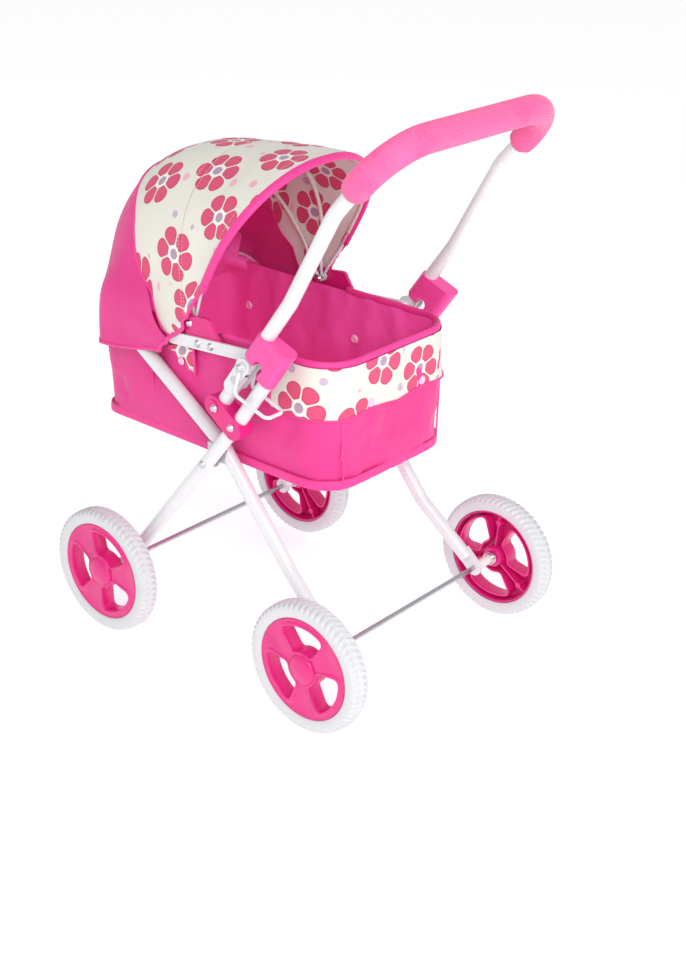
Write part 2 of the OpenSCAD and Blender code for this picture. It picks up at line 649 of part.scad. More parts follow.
module tyre() color("white") {
    h = tyre_w / 2;
    rotate_extrude() polygon([[hub_r, -h + 2.5], [hub_r + 3, -h + 0.8], [hub_r + 8, -h],
        [tyre_r - 3, -h + 0.6], [tyre_r - tread_depth, -h + 2.4], [tyre_r - tread_depth, -5],
        [tyre_r, -4.4], [tyre_r, 4.4], [tyre_r - tread_depth, 5], [tyre_r - tread_depth, h - 2.4],
        [tyre_r - 3, h - 0.6], [hub_r + 8, h], [hub_r + 3, h - 0.8], [hub_r, h - 2.5]]);
    step = 360 / tread_blocks;
    for (z = [-h + 1.2, 4.4]) translate([0, 0, z]) linear_extrude(h - 5.6) difference() {
        polygon([for (i = [0 : tread_blocks - 1], k = [[-0.34, 0], [-0.26, 1], [0.26, 1], [0.34, 0]])
            let (a = 90 + step * (i + k[0]), r = tyre_r - 0.02 - (1 - k[1]) * (tread_depth + 0.4))
            r * [cos(a), sin(a)]]);
        circle(r = tyre_r - 8);
    }
}

module hub() color("deeppink") {
    c = 5;
    depth = hub_face - 3;
    difference() {
        union() {
            rotate_extrude() polygon([[axle_d / 2 + fit, -hub_in], [12, -hub_in], [12.6, depth],
                [hub_r - 3.2, depth], [hub_r - 2.6, 1 - hub_face], [hub_r, 1 - hub_face],
                [hub_r, hub_face - 1.2], [hub_r - 1.2, hub_face], [cap_r + gap, hub_face],
                [cap_r + gap, hub_face - 1], [axle_d / 2 + fit, hub_face - 1]]);
            // walls round the windows
            for (k = [0 : 2]) rotate(90 + 120 * k) translate([0, 0, -6.5]) linear_extrude(hub_face + 5)
                window_plan(window_ri - 2, window_ro + 2, 40, c + 2);
            // ribs between the windows
            for (k = [0 : 2]) rotate(30 + 120 * k) translate([11, -1, -5])
                cube([hub_r - 12.5, 2, hub_face + 4]);
        }
        for (k = [0 : 2]) rotate(90 + 120 * k) translate([0, 0, -20]) linear_extrude(40)
            window_plan(window_ri, window_ro, 36, c);
    }
}

module cap() color("hotpink") translate([0, 0, hub_face - 1]) rotate_extrude() difference() {
    union() {
        square([cap_r, 2.6]);
        intersection() {
            translate([0, cap_rise + 1 - cap_dome_r()]) circle(r = cap_dome_r(), $fn = 128);
            translate([0, 2.4]) square([cap_r - 0.5, 20]);
        }
    }
    translate([0, -1]) square([cap_r - 5, 4.6]);
}
function cap_dome_r() = let (h = cap_rise - 1.6) (cap_r * cap_r + h * h) / (2 * h);

// ---------------------------------------------------------------- nodes

rear_leg_frame();
axle(rear_x);  // rear_axle
left() bush(rear_x, foot_plane);  // rear_bush_left
bush(rear_x, foot_plane);  // rear_bush_right
left() scissor_lug();  // scissor_lug_left
scissor_lug();  // scissor_lug_right
left() side_rail();  // side_rail_left
side_rail();  // side_rail_right
left() hood_bracket();  // hood_bracket_left
hood_bracket();  // hood_bracket_right
bracket_rivets();
bassinet_tub();
base_board();
rim_binding();
printed_band();
snap_buttons();
hood_rear_panel();
hood_bow_rear();
left() front_leg();  // front_leg_left
front_leg();  // front_leg_right
axle(front_x);  // front_axle
left() bush(front_x, outer_plane);  // front_bush_left
bush(front_x, outer_plane);  // front_bush_right
left() joint_block();  // joint_block_left
joint_block();  // joint_block_right
left() lock_post();  // lock_post_left
lock_post();  // lock_post_right
left() pivot_stub();  // pivot_stub_left
pivot_stub();  // pivot_stub_right
left() fork_plates();  // fork_plates_left
fork_plates();  // fork_plates_right
left() scissor_rivet();  // scissor_rivet_left
scissor_rivet();  // scissor_rivet_right
left() hinge_pin();  // hinge_pin_left
hinge_pin();  // hinge_pin_right
block_rivets();
handle_tube();
handle_grip();
left() lock_sleeve();  // lock_sleeve_left
lock_sleeve();  // lock_sleeve_right
left() lock_bail();  // lock_bail_left
lock_bail();  // lock_bail_right
hood_bow_middle();
canopy_middle();
hood_bow_front();
canopy_front();
wheel(front_x, -1) tyre();  // tyre_front_left
wheel(front_x, -1, turn_front_left) hub();  // hub_front_left
wheel(front_x, -1) cap();  // cap_front_left
wheel(front_x, 1) tyre();  // tyre_front_right
wheel(front_x, 1, turn_front_right) hub();  // hub_front_right
wheel(front_x, 1) cap();  // cap_front_right
wheel(rear_x, -1) tyre();  // tyre_rear_left
wheel(rear_x, -1, turn_rear_left) hub();  // hub_rear_left
wheel(rear_x, -1) cap();  // cap_rear_left
wheel(rear_x, 1) tyre();  // tyre_rear_right
wheel(rear_x, 1, turn_rear_right) hub();  // hub_rear_right
wheel(rear_x, 1) cap();  // cap_rear_right
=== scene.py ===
# %% [markdown]
# # A doll pram, dressed in Blender
# The pram's frame, joints and fabric volumes arrive as exact solids, already in place. This notebook
# gives them the surfaces of the real toy: gloss paint, moulded plastic, ribbed foam and sewn cloth.
# Each cell makes one piece. Lengths in the text are millimetres, and the scene itself is in metres.

# %% Load the frame
import math
import random

import bmesh
import bpy
from mathutils import Matrix, Vector, noise


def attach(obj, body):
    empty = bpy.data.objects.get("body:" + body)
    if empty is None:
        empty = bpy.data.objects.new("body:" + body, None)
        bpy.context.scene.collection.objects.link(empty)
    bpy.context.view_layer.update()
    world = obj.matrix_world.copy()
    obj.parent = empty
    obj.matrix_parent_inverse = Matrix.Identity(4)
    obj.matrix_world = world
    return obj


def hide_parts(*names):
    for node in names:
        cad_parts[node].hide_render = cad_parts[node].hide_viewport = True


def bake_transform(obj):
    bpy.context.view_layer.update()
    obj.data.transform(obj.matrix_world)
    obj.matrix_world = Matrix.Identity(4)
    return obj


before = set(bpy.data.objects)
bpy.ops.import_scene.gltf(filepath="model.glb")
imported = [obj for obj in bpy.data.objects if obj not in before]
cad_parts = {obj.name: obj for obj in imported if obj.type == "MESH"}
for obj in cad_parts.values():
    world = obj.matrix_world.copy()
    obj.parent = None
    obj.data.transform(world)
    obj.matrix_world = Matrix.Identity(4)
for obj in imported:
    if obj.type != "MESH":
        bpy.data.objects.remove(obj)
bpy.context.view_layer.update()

# %% [markdown]
# ## Camera first
# A pram is usually shown from its front corner, a little above, so that the hood, the bassinet and
# three wheels can be seen at once. The camera stands 1.8 m away with a lens of about 60 mm. Its
# matrix is written from three directions, so its small roll is exact.

# %% Camera
azimuth, elevation, roll = (math.radians(a) for a in (40.10, 25.98, 1.27))
back = Vector((math.sin(azimuth) * math.cos(elevation), -math.cos(azimuth) * math.cos(elevation),
               math.sin(elevation)))
side = (-back).cross(Vector((0, 0, 1))).normalized()
above = side.cross(-back)
right = math.cos(roll) * side + math.sin(roll) * above
upward = math.cos(roll) * above - math.sin(roll) * side
lens = bpy.data.cameras.new("camera")
lens.lens, lens.sensor_width, lens.sensor_fit = 59.44, 36, "AUTO"
lens.clip_start, lens.clip_end = 0.05, 60
camera = bpy.data.objects.new("camera", lens)
bpy.context.scene.collection.objects.link(camera)
camera.matrix_world = Matrix((right, upward, back)).transposed().to_4x4()
camera.location = (1.08285, -1.22058, 0.95908)
bpy.context.scene.camera = camera
print("camera at", tuple(camera.location))

# %% [markdown]
# ## Light and floor
# Toys of this kind are shown on plain white. A bright even world gives soft shadows, and large area
# lights add the long highlights that make painted tube and moulded plastic look glossy. One of them
# stands by the camera and shines into the hood and the bassinet.

# %% World, lights and floor
scene = bpy.context.scene
scene.view_settings.view_transform = "Standard"
world = bpy.data.worlds.new("studio")
scene.world = world
world.use_nodes = True
world.node_tree.nodes["Background"].inputs["Color"].default_value = (1, 1, 1, 1)
world.node_tree.nodes["Background"].inputs["Strength"].default_value = 0.62


def area_light(name, place, target, size, power):
    """A large square lamp at place that faces target."""
    lamp = bpy.data.lights.new(name, "AREA")
    lamp.size, lamp.energy = size, power
    obj = bpy.data.objects.new(name, lamp)
    obj.location = place
    obj.rotation_euler = (Vector(target) - Vector(place)).to_track_quat("-Z", "Y").to_euler()
    scene.collection.objects.link(obj)
    return obj


area_light("key", (0.6, -1.5, 2.2), (0, 0, 0.3), 1.1, 4)
area_light("fill", (-1.9, -0.9, 1.3), (0, 0, 0.3), 1.4, 3)
area_light("foot", (1.9, 0.2, 1.3), (-0.1, 0.05, 0.34), 0.8, 8.5)
area_light("front", (1.2, -1.0, 1.15), (-0.1, 0, 0.36), 0.7, 13)
floor_mesh = bmesh.new()
bmesh.ops.create_grid(floor_mesh, x_segments=1, y_segments=1, size=14)
floor_data = bpy.data.meshes.new("floor")
floor_mesh.to_mesh(floor_data)
floor = bpy.data.objects.new("floor", floor_data)
scene.collection.objects.link(floor)

# %% [markdown]
# ## Small tools for nodes
# A material is a tree of nodes. Two helpers keep the cells short: `put` adds a node and fills its
# sockets, and `calc` does one step of arithmetic. A helper makes each new material with its shader.

# %% Node helpers
def srgb(r, g, b):
    """A colour picked on a screen, 0 to 255, as the linear values that shaders use."""
    return tuple(((c / 255) / 12.92 if c <= 10 else ((c / 255 + 0.055) / 1.055) ** 2.4)
                 for c in (r, g, b)) + (1,)


def put(tree, kind, sockets=None, **settings):
    """Adds a node. A socket's value is a number, a colour or another node's output."""
    node = tree.nodes.new(kind)
    for key, value in settings.items():
        setattr(node, key, value)
    for key, value in (sockets or {}).items():
        if isinstance(value, bpy.types.NodeSocket):
            tree.links.new(value, node.inputs[key])
        else:
            node.inputs[key].default_value = value
    return node


def calc(tree, operation, *values):
    """One step of arithmetic on numbers or outputs."""
    return put(tree, "ShaderNodeMath", dict(enumerate(values)), operation=operation).outputs[0]


def step(tree, low, high, value):
    """0 below low and 1 above high, with a smooth change between them."""
    node = put(tree, "ShaderNodeMapRange", {"Value": value, "From Min": low, "From Max": high},
               interpolation_type="SMOOTHSTEP")
    return node.outputs["Result"]


def mix(tree, factor, a, b):
    """Colour a where factor is 0 and colour b where it is 1."""
    node = put(tree, "ShaderNodeMix", data_type="RGBA")
    for socket, value in (("Factor_Float", factor), ("A_Color", a), ("B_Color", b)):
        target = next(s for s in node.inputs if s.identifier == socket)
        if isinstance(value, bpy.types.NodeSocket):
            tree.links.new(value, target)
        else:
            target.default_value = value
    return next(s for s in node.outputs if s.identifier == "Result_Color")


def new_group(name, inputs, outputs):
    """A node group with named sockets. Returns its tree, its inputs and its output node."""
    tree = bpy.data.node_groups.new(name, "ShaderNodeTree")
    for label, kind in inputs.items():
        tree.interface.new_socket(label, in_out="INPUT", socket_type=kind)
    for label, kind in outputs.items():
        tree.interface.new_socket(label, in_out="OUTPUT", socket_type=kind)
    return tree, tree.nodes.new("NodeGroupInput").outputs, tree.nodes.new("NodeGroupOutput").inputs


def use_group(tree, group, sockets):
    """Places a node group in a tree, fills its sockets and returns its outputs."""
    node = tree.nodes.new("ShaderNodeGroup")
    node.node_tree = group
    for key, value in sockets.items():
        socket = node.inputs[key]
        if isinstance(value, bpy.types.NodeSocket):
            tree.links.new(value, socket)
        else:
            socket.default_value = value
    return node.outputs


def new_material(name, **shader):
    """A material with one Principled shader. Plain numbers go straight on its sockets."""
    material = bpy.data.materials.new(name)
    material.use_nodes = True
    principled = material.node_tree.nodes["Principled BSDF"]
    for key, value in shader.items():
        principled.inputs[key.replace("_", " ")].default_value = value
    return material, material.node_tree, principled.inputs


def bump(tree, height, distance, strength=1.0):
    """A normal from a height."""
    return put(tree, "ShaderNodeBump", {"Height": height, "Distance": distance,
                                        "Strength": strength}).outputs[0]


# %% [markdown]
# ## Effects that many materials share
# Three node groups are built once. *Worn surface* gives the faint unevenness of a moulded or sprayed
# skin and a mask of soft marks. *Plain weave* raises the threads of cloth, one over and one under, and
# marks the gaps between them, which the cloths darken as painted shade. *Soiling and fold shade* is a
# slow change of tone over a hand's breadth, which keeps big areas from looking flat: on hard finishes
# it spreads soiling, and on cloth it is painted shade standing for folds.

# %% Shared node groups
worn, given, result = new_group("Worn surface", {"Vector": "NodeSocketVector", "Scale": "NodeSocketFloat"},
                                {"Height": "NodeSocketFloat", "Marks": "NodeSocketFloat"})
fine = put(worn, "ShaderNodeTexNoise", {"Vector": given["Vector"], "Scale": given["Scale"], "Detail": 3.0})
broad = put(worn, "ShaderNodeTexNoise", {"Vector": given["Vector"], "Scale": 26.0, "Detail": 5.0,
                                         "Roughness": 0.62})
worn.links.new(fine.outputs[0], result["Height"])
worn.links.new(step(worn, 0.52, 0.74, broad.outputs[0]), result["Marks"])

weave, given, result = new_group("Plain weave", {"Vector": "NodeSocketVector", "Threads": "NodeSocketFloat"},
                                 {"Height": "NodeSocketFloat", "Gaps": "NodeSocketFloat"})
apart = put(weave, "ShaderNodeSeparateXYZ", {0: given["Vector"]}).outputs
warp = calc(weave, "SINE", calc(weave, "MULTIPLY", apart[0],
                                calc(weave, "MULTIPLY", given["Threads"], math.tau)))
weft = calc(weave, "SINE", calc(weave, "MULTIPLY", apart[1],
                                calc(weave, "MULTIPLY", given["Threads"], math.tau)))
crossing = calc(weave, "MULTIPLY", warp, weft)
weave.links.new(calc(weave, "MULTIPLY_ADD", crossing, 0.5, 0.5), result["Height"])
# Gaps marks the hollows between threads; the cloths darken them as painted shade and make them rougher
weave.links.new(step(weave, 0.55, 0.95, calc(weave, "ABSOLUTE", crossing)), result["Gaps"])

# a slow tone: soiling on hard finishes, and painted shade standing for folds on cloth
soiling_and_fold_shade, given, result = new_group("Soiling and fold shade", {"Vector": "NodeSocketVector"}, {"Tone": "NodeSocketFloat"})
slow = put(soiling_and_fold_shade, "ShaderNodeTexNoise",
           {"Vector": given["Vector"], "Scale": 9.0, "Detail": 4.0, "Roughness": 0.55})
soiling_and_fold_shade.links.new(step(soiling_and_fold_shade, 0.3, 0.72, slow.outputs[0]), result["Tone"])
print("groups:", [g.name for g in bpy.data.node_groups])

# %% [markdown]
# ## Hard finishes
# The frame is steel tube under gloss white paint, the wheels, blocks and sleeves are polypropylene in a
# strong pink, the rods and rivets are zinc plated, and the tyres are a matt foamed plastic. Each finish
# reads Object coordinates, because every piece lies in one shared frame.

# %% Paint, plastic and metal
def hard_finish(name, colour, mark_colour, rough, grain=700.0, relief=0.00004, **shader):
    """Paint or moulded plastic: a tone with soft marks, and a fine relief under the gloss."""
    material, tree, sockets = new_material(name, **shader)
    where = put(tree, "ShaderNodeTexCoord").outputs["Object"]
    skin_out = use_group(tree, worn, {"Vector": where, "Scale": grain})
    tone = use_group(tree, soiling_and_fold_shade, {"Vector": where})["Tone"]
    marks = calc(tree, "MULTIPLY", skin_out["Marks"], tone)
    tree.links.new(mix(tree, marks, colour, mark_colour), sockets["Base Color"])
    tree.links.new(calc(tree, "MULTIPLY_ADD", marks, 0.12, rough), sockets["Roughness"])
    tree.links.new(bump(tree, skin_out["Height"], relief), sockets["Normal"])
    return material


hot_pink, deep_pink = srgb(222, 30, 126), srgb(204, 22, 112)
white_paint = hard_finish("Gloss white paint", srgb(222, 223, 226), srgb(210, 211, 214), 0.16,
                          Coat_Weight=0.5, Coat_Roughness=0.06)
white_plastic = hard_finish("White moulded plastic", srgb(238, 238, 236), srgb(226, 226, 222), 0.32)
pink_plastic = hard_finish("Pink moulded plastic", hot_pink, deep_pink, 0.34, Coat_Weight=0.15,
                           Coat_Roughness=0.12)
sleeve_plastic = hard_finish("Pale pink moulded plastic", srgb(240, 78, 160), srgb(230, 62, 148), 0.3)
stud_plastic = hard_finish("Press stud plastic", srgb(252, 190, 218), srgb(246, 168, 204), 0.28)
tyre_foam = hard_finish("Foamed tyre", srgb(212, 214, 217), srgb(192, 193, 196), 0.55, grain=420.0,
                        relief=0.00012)
zinc = hard_finish("Zinc plated steel", srgb(196, 198, 202), srgb(164, 166, 170), 0.26, grain=240.0,
                   Metallic=1.0)
chrome = hard_finish("Bright spring steel", srgb(226, 228, 230), srgb(190, 192, 196), 0.12, Metallic=1.0)
studio_floor = hard_finish("Studio floor", srgb(252, 252, 252), srgb(250, 250, 250), 0.9, grain=40.0)
studio_floor.node_tree.nodes["Principled BSDF"].inputs["Emission Color"].default_value = (1, 1, 1, 1)
studio_floor.node_tree.nodes["Principled BSDF"].inputs["Emission Strength"].default_value = 0.36
floor_data.materials.append(studio_floor)
print("hard finishes:", len(bpy.data.materials))

# %% [markdown]
# ## Foam and cloth
# The grip is soft PVC foam with a matt skin. The bassinet is a nylon cloth that shines a little where
# it turns to the light, and its threads are about 0.4 mm apart. Cloth pieces carry a UV map in metres,
# so threads and prints keep their size on each panel.

# %% Foam and pink cloth
grip_foam, tree, sockets = new_material("Ribbed pink foam", Sheen_Weight=0.25, Sheen_Roughness=0.4)
where = put(tree, "ShaderNodeTexCoord").outputs["Object"]
skin_out = use_group(tree, worn, {"Vector": where, "Scale": 1300.0})
tree.links.new(mix(tree, skin_out["Marks"], srgb(242, 98, 158), srgb(232, 80, 146)), sockets["Base Color"])
tree.links.new(calc(tree, "MULTIPLY_ADD", skin_out["Height"], 0.2, 0.42), sockets["Roughness"])
tree.links.new(bump(tree, skin_out["Height"], 0.00012), sockets["Normal"])


def cloth_finish(name, colour, painted_shade_colour, threads=1250.0, rough=0.62, **shader):
    """Woven cloth in one colour, with painted shade: a little darker in slow patches that stand for its
    folds, and in the gaps between its threads.
    """
    material, tree, sockets = new_material(name, Sheen_Weight=0.18, Sheen_Roughness=0.35, **shader)
    flat = put(tree, "ShaderNodeTexCoord").outputs["UV"]
    where = put(tree, "ShaderNodeTexCoord").outputs["Object"]
    threads_out = use_group(tree, weave, {"Vector": flat, "Threads": threads})
    tone = use_group(tree, soiling_and_fold_shade, {"Vector": where})["Tone"]
    # painted shade: slow patches standing for folds, and the gaps between threads, mix the colour towards
    # the darker one
    shade = calc(tree, "MULTIPLY_ADD", threads_out["Gaps"], 0.25, calc(tree, "MULTIPLY", tone, 0.45))
    tree.links.new(mix(tree, shade, colour, painted_shade_colour), sockets["Base Color"])
    tree.links.new(calc(tree, "MULTIPLY_ADD", threads_out["Gaps"], 0.12, rough), sockets["Roughness"])
    crinkle = put(tree, "ShaderNodeTexNoise", {"Vector": where, "Scale": 60.0, "Detail": 4.0}).outputs[0]
    height = calc(tree, "MULTIPLY_ADD", crinkle, 8.0, threads_out["Height"])
    tree.links.new(bump(tree, height, 0.00008), sockets["Normal"])
    return material


pink_cloth = cloth_finish("Pink nylon cloth", srgb(230, 52, 142), srgb(214, 34, 124), rough=0.5)
# painted light: the lining's colour is painted lighter than the pink cloth's to make up for the shade inside
# the bassinet
lit_lining_cloth = cloth_finish("Pink lining cloth painted lighter", srgb(255, 94, 188), srgb(252, 78, 172), rough=0.6)
binding_cloth = cloth_finish("Pink binding tape", srgb(238, 62, 150), srgb(222, 42, 132), threads=900.0,
                             rough=0.55)
thread_cloth = cloth_finish("Pink sewing thread", srgb(244, 96, 168), srgb(232, 74, 150), threads=2600.0)
print("cloths:", [m.name for m in bpy.data.materials if "cloth" in m.name.lower()])

# %% [markdown]
# ## The printed cloth
# The hood and the band carry a cheerful print: round flowers of six separate egg-shaped petals about a
# grey button, scattered with pale dots on cream. It is a generic motif, worked out from distances
# alone. A Voronoi pattern gives each flower its own middle and turn, and the cloth's UV map is in
# metres, so a flower is 58 mm across wherever it lands.

# %% Flower print
flowers, given, result = new_group("Flower print", {"Vector": "NodeSocketVector"},
                                   {"Color": "NodeSocketColor"})
CELL, DOT_CELL = 0.073, 0.034
laid = put(flowers, "ShaderNodeVectorRotate", {"Vector": given["Vector"], "Angle": 0.42},
           rotation_type="Z_AXIS").outputs[0]
scaled = put(flowers, "ShaderNodeVectorMath", {0: laid, 1: (1 / CELL,) * 3}, operation="MULTIPLY").outputs[0]
spots = put(flowers, "ShaderNodeTexVoronoi", {"Vector": scaled, "Scale": 1.0, "Randomness": 0.24},
            voronoi_dimensions="2D").outputs
from_middle = put(flowers, "ShaderNodeVectorMath", {0: scaled, 1: spots["Position"]},
                  operation="SUBTRACT").outputs[0]
local = put(flowers, "ShaderNodeSeparateXYZ", {0: from_middle}).outputs
luck = put(flowers, "ShaderNodeSeparateColor", {0: spots["Color"]}).outputs
reach = calc(flowers, "MULTIPLY", calc(flowers, "POWER",
                                       calc(flowers, "ADD", calc(flowers, "MULTIPLY", local[0], local[0]),
             calc(flowers, "MULTIPLY", local[1], local[1])), 0.5), CELL * 1000)
turn = calc(flowers, "MULTIPLY_ADD", luck[0], math.tau, calc(flowers, "ARCTAN2", local[1], local[0]))
petal_turn = calc(flowers, "WRAP", turn, math.pi / 6, -math.pi / 6)
out_along = calc(flowers, "MULTIPLY", reach, calc(flowers, "COSINE", petal_turn))
over_petal = calc(flowers, "ABSOLUTE", calc(flowers, "MULTIPLY", reach, calc(flowers, "SINE", petal_turn)))
length_part = calc(flowers, "DIVIDE", calc(flowers, "SUBTRACT", out_along, 18.4), 10.0)
width_part = calc(flowers, "DIVIDE", over_petal, calc(flowers, "MULTIPLY_ADD", length_part, 2.1, 9.6))
egg = calc(flowers, "POWER", calc(flowers, "ADD", calc(flowers, "MULTIPLY", length_part, length_part),
           calc(flowers, "MULTIPLY", width_part, width_part)), 0.5)
from_next = calc(flowers, "SUBTRACT", calc(flowers, "MULTIPLY", out_along, 0.5),
                 calc(flowers, "MULTIPLY", over_petal, 0.866))
petal = calc(flowers, "MULTIPLY", calc(flowers, "SUBTRACT", 1.0, step(flowers, 0.95, 1.03, egg)),
             step(flowers, 0.7, 1.2, from_next))
petal_colour = mix(flowers, calc(flowers, "MAXIMUM", step(flowers, 0.82, 0.93, egg),
                   calc(flowers, "SUBTRACT", 1.0, step(flowers, 1.2, 2.1, from_next))),
                   srgb(218, 70, 116), srgb(196, 42, 88))

dotted = put(flowers, "ShaderNodeVectorMath", {0: given["Vector"], 1: (1 / DOT_CELL,) * 3},
             operation="MULTIPLY").outputs[0]
dots = put(flowers, "ShaderNodeTexVoronoi", {"Vector": dotted, "Scale": 1.0, "Randomness": 0.8},
           voronoi_dimensions="2D").outputs
dot_luck = put(flowers, "ShaderNodeSeparateColor", {0: dots["Color"]}).outputs
dot_size = calc(flowers, "MULTIPLY_ADD", dot_luck[1], 0.09, 0.07)
dot = calc(flowers, "LESS_THAN", dots["Distance"], dot_size)
dot = calc(flowers, "MULTIPLY", dot, step(flowers, 30.0, 33.0, reach))
dot = calc(flowers, "MULTIPLY", dot, calc(flowers, "GREATER_THAN", dot_luck[0], 0.3))
dot_colour = mix(flowers, calc(flowers, "GREATER_THAN", dot_luck[2], 0.55), srgb(240, 178, 194),
                 srgb(198, 176, 194))
ground = mix(flowers, dot, srgb(229, 226, 217), dot_colour)
print_colour = mix(flowers, petal, ground, petal_colour)
print_colour = mix(flowers, calc(flowers, "LESS_THAN", reach, 9.2), print_colour, srgb(244, 242, 238))
print_colour = mix(flowers, calc(flowers, "SUBTRACT", 1.0, step(flowers, 5.3, 5.9, reach)), print_colour,
                   srgb(178, 152, 172))
flowers.links.new(print_colour, result["Color"])

printed_cloth, tree, sockets = new_material("Flower printed cloth", Sheen_Weight=0.08, Sheen_Roughness=0.4)
flat = put(tree, "ShaderNodeTexCoord").outputs["UV"]
where = put(tree, "ShaderNodeTexCoord").outputs["Object"]
threads_out = use_group(tree, weave, {"Vector": flat, "Threads": 1100.0})
tone = use_group(tree, soiling_and_fold_shade, {"Vector": where})["Tone"]
inked = use_group(tree, flowers, {"Vector": flat})["Color"]
shade = put(tree, "ShaderNodeHueSaturation",
            {"Color": inked, "Value": calc(tree, "MULTIPLY_ADD", tone, -0.05, 1.0)})
# painted shade: the gaps between the threads are darkened towards a grey beige
shade = mix(tree, calc(tree, "MULTIPLY", threads_out["Gaps"], 0.12), shade.outputs[0], srgb(206, 196, 188))
tree.links.new(shade, sockets["Base Color"])
tree.links.new(calc(tree, "MULTIPLY_ADD", threads_out["Gaps"], 0.1, 0.62), sockets["Roughness"])
crinkle = put(tree, "ShaderNodeTexNoise", {"Vector": where, "Scale": 45.0, "Detail": 4.0}).outputs[0]
tree.links.new(bump(tree, calc(tree, "MULTIPLY_ADD", crinkle, 10.0, threads_out["Height"]), 0.00008),
               sockets["Normal"])
print("print nodes:", len(flowers.nodes))

# %% [markdown]
# ## Small tools for meshes
# A piece starts as a bmesh. `skin` draws a chain of vertices and extrudes it from row to row, which is
# how a tube, a rim or a sheet of cloth grows. `finish` turns the bmesh into an object that sits at the
# origin and rides on its body. Lengths are given in millimetres and become metres at the end.

# %% Mesh helpers
MM = 0.001


def skin(bm, rows, closed=False):
    """Extrudes a chain of edges from row to row and returns the grid of its vertices."""
    first = [bm.verts.new(p) for p in rows[0]]
    n = len(first)
    edges = [bm.edges.new((first[i], first[(i + 1) % n])) for i in range(n if closed else n - 1)]
    grid = [first]
    for row in rows[1:]:
        grown = bmesh.ops.extrude_edge_only(bm, edges=edges)["geom"]
        before = {v: i for i, v in enumerate(grid[-1])}
        new = [None] * n
        for v in (g for g in grown if isinstance(g, bmesh.types.BMVert)):
            i = next(before[e.other_vert(v)] for e in v.link_edges if e.other_vert(v) in before)
            v.co, new[i] = row[i], v
        fresh = set(new)
        edges = [e for e in grown if isinstance(e, bmesh.types.BMEdge) and set(e.verts) <= fresh]
        grid.append(new)
    return grid


def unroll(bm, grid, flat):
    """Writes a UV map: flat(row, column) is that vertex's place on the cut cloth, in metres."""
    layer = bm.loops.layers.uv.verify()
    place = {v: flat(i, j) for i, row in enumerate(grid) for j, v in enumerate(row)}
    for face in bm.faces:
        for loop in face.loops:
            if loop.vert in place:
                loop[layer].uv = place[loop.vert]


def finish(bm, name, material, body, replaces=(), outward=True, smooth=True, weld=0.00001):
    """Ends a piece: metres, no doubles, normals outwards, material and body."""
    bmesh.ops.scale(bm, vec=(MM, MM, MM), verts=bm.verts)
    bmesh.ops.remove_doubles(bm, verts=bm.verts, dist=weld)
    if outward:
        bmesh.ops.recalc_face_normals(bm, faces=bm.faces)
    mesh = bpy.data.meshes.new(name)
    bm.to_mesh(mesh)
    bm.free()
    for polygon in mesh.polygons:
        polygon.use_smooth = smooth
    for one in material if isinstance(material, (list, tuple)) else [material]:
        mesh.materials.append(one)
    piece = bpy.data.objects.new(name, mesh)
    scene.collection.objects.link(piece)
    if body:
        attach(piece, body)
    for node in replaces:
        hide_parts(node)
    return piece


def by_angle(piece, degrees=35):
    """Keeps smooth shading, but sharpens the edges that turn by more than this angle."""
    bm = bmesh.new()
    bm.from_mesh(piece.data)
    for edge in bm.edges:
        edge.smooth = edge.calc_face_angle(0.0) < math.radians(degrees)
    bm.to_mesh(piece.data)
    bm.free()
    return piece


def subdivide(piece, levels=1):
    """A live subdivision surface, the same in the render and in the viewport."""
    surface = piece.modifiers.new("surface", "SUBSURF")
    surface.levels = surface.render_levels = levels
    return piece


def ring_at(centre, tangent, radius, count, normal=None, lobes=None):
    """Points round a path: a ring of this radius about centre, square to tangent."""
    t = Vector(tangent).normalized()
    n = Vector(normal) if normal is not None else t.orthogonal()
    n = (n - n.dot(t) * t).normalized()
    b = t.cross(n)
    points = []
    for i in range(count):
        a = math.tau * i / count
        r = radius * (lobes(a) if lobes else 1)
        points.append(Vector(centre) + r * (math.cos(a) * n + math.sin(a) * b))
    return points


def round_path(points, radii, spacing=4.0):
    """A path through points with round corners: a list of (point, tangent)."""
    pts = [Vector(p) for p in points]
    out = []

    def line(a, b):
        n = max(1, int((b - a).length / spacing))
        out.extend((a.lerp(b, i / n), (b - a).normalized()) for i in range(n + 1))

    start = pts[0]
    for i in range(1, len(pts) - 1):
        u, v = (pts[i] - pts[i - 1]).normalized(), (pts[i + 1] - pts[i]).normalized()
        angle = u.angle(v)
        cut = radii[i] * math.tan(angle / 2)
        a = pts[i] - cut * u
        line(start, a)
        inward = (v - u.dot(v) * u).normalized()
        centre = a + radii[i] * inward
        n = max(2, int(angle * radii[i] / spacing), int(math.degrees(angle) / 7))
        for k in range(1, n):
            t = angle * k / n
            out.append((centre - radii[i] * math.cos(t) * inward + radii[i] * math.sin(t) * u,
                        math.cos(t) * u + math.sin(t) * inward))
        start = pts[i] + cut * v
    line(start, pts[-1])
    clean = [out[0]]
    for p in out[1:]:
        if (p[0] - clean[-1][0]).length > 0.05:
            clean.append(p)
    return clean


def tube(bm, path, radius, count=20, caps=True, lobes=None, normal=(0.31, 0.22, 0.93)):
    """A round rod along a path. radius is a number or a function of the share of the way."""
    size = radius if callable(radius) else (lambda share: radius)
    last = len(path) - 1
    n = Vector(normal)
    rows = []
    for i, (p, t) in enumerate(path):
        t = Vector(t).normalized()
        n = (n - n.dot(t) * t).normalized()
        rows.append(ring_at(p, t, size(i / last), count, n, lobes))
    grid = skin(bm, rows, closed=True)
    if caps:
        for ring in (grid[0], grid[-1]):
            bmesh.ops.contextual_create(bm, geom=ring)
    return grid


print("helpers ready")

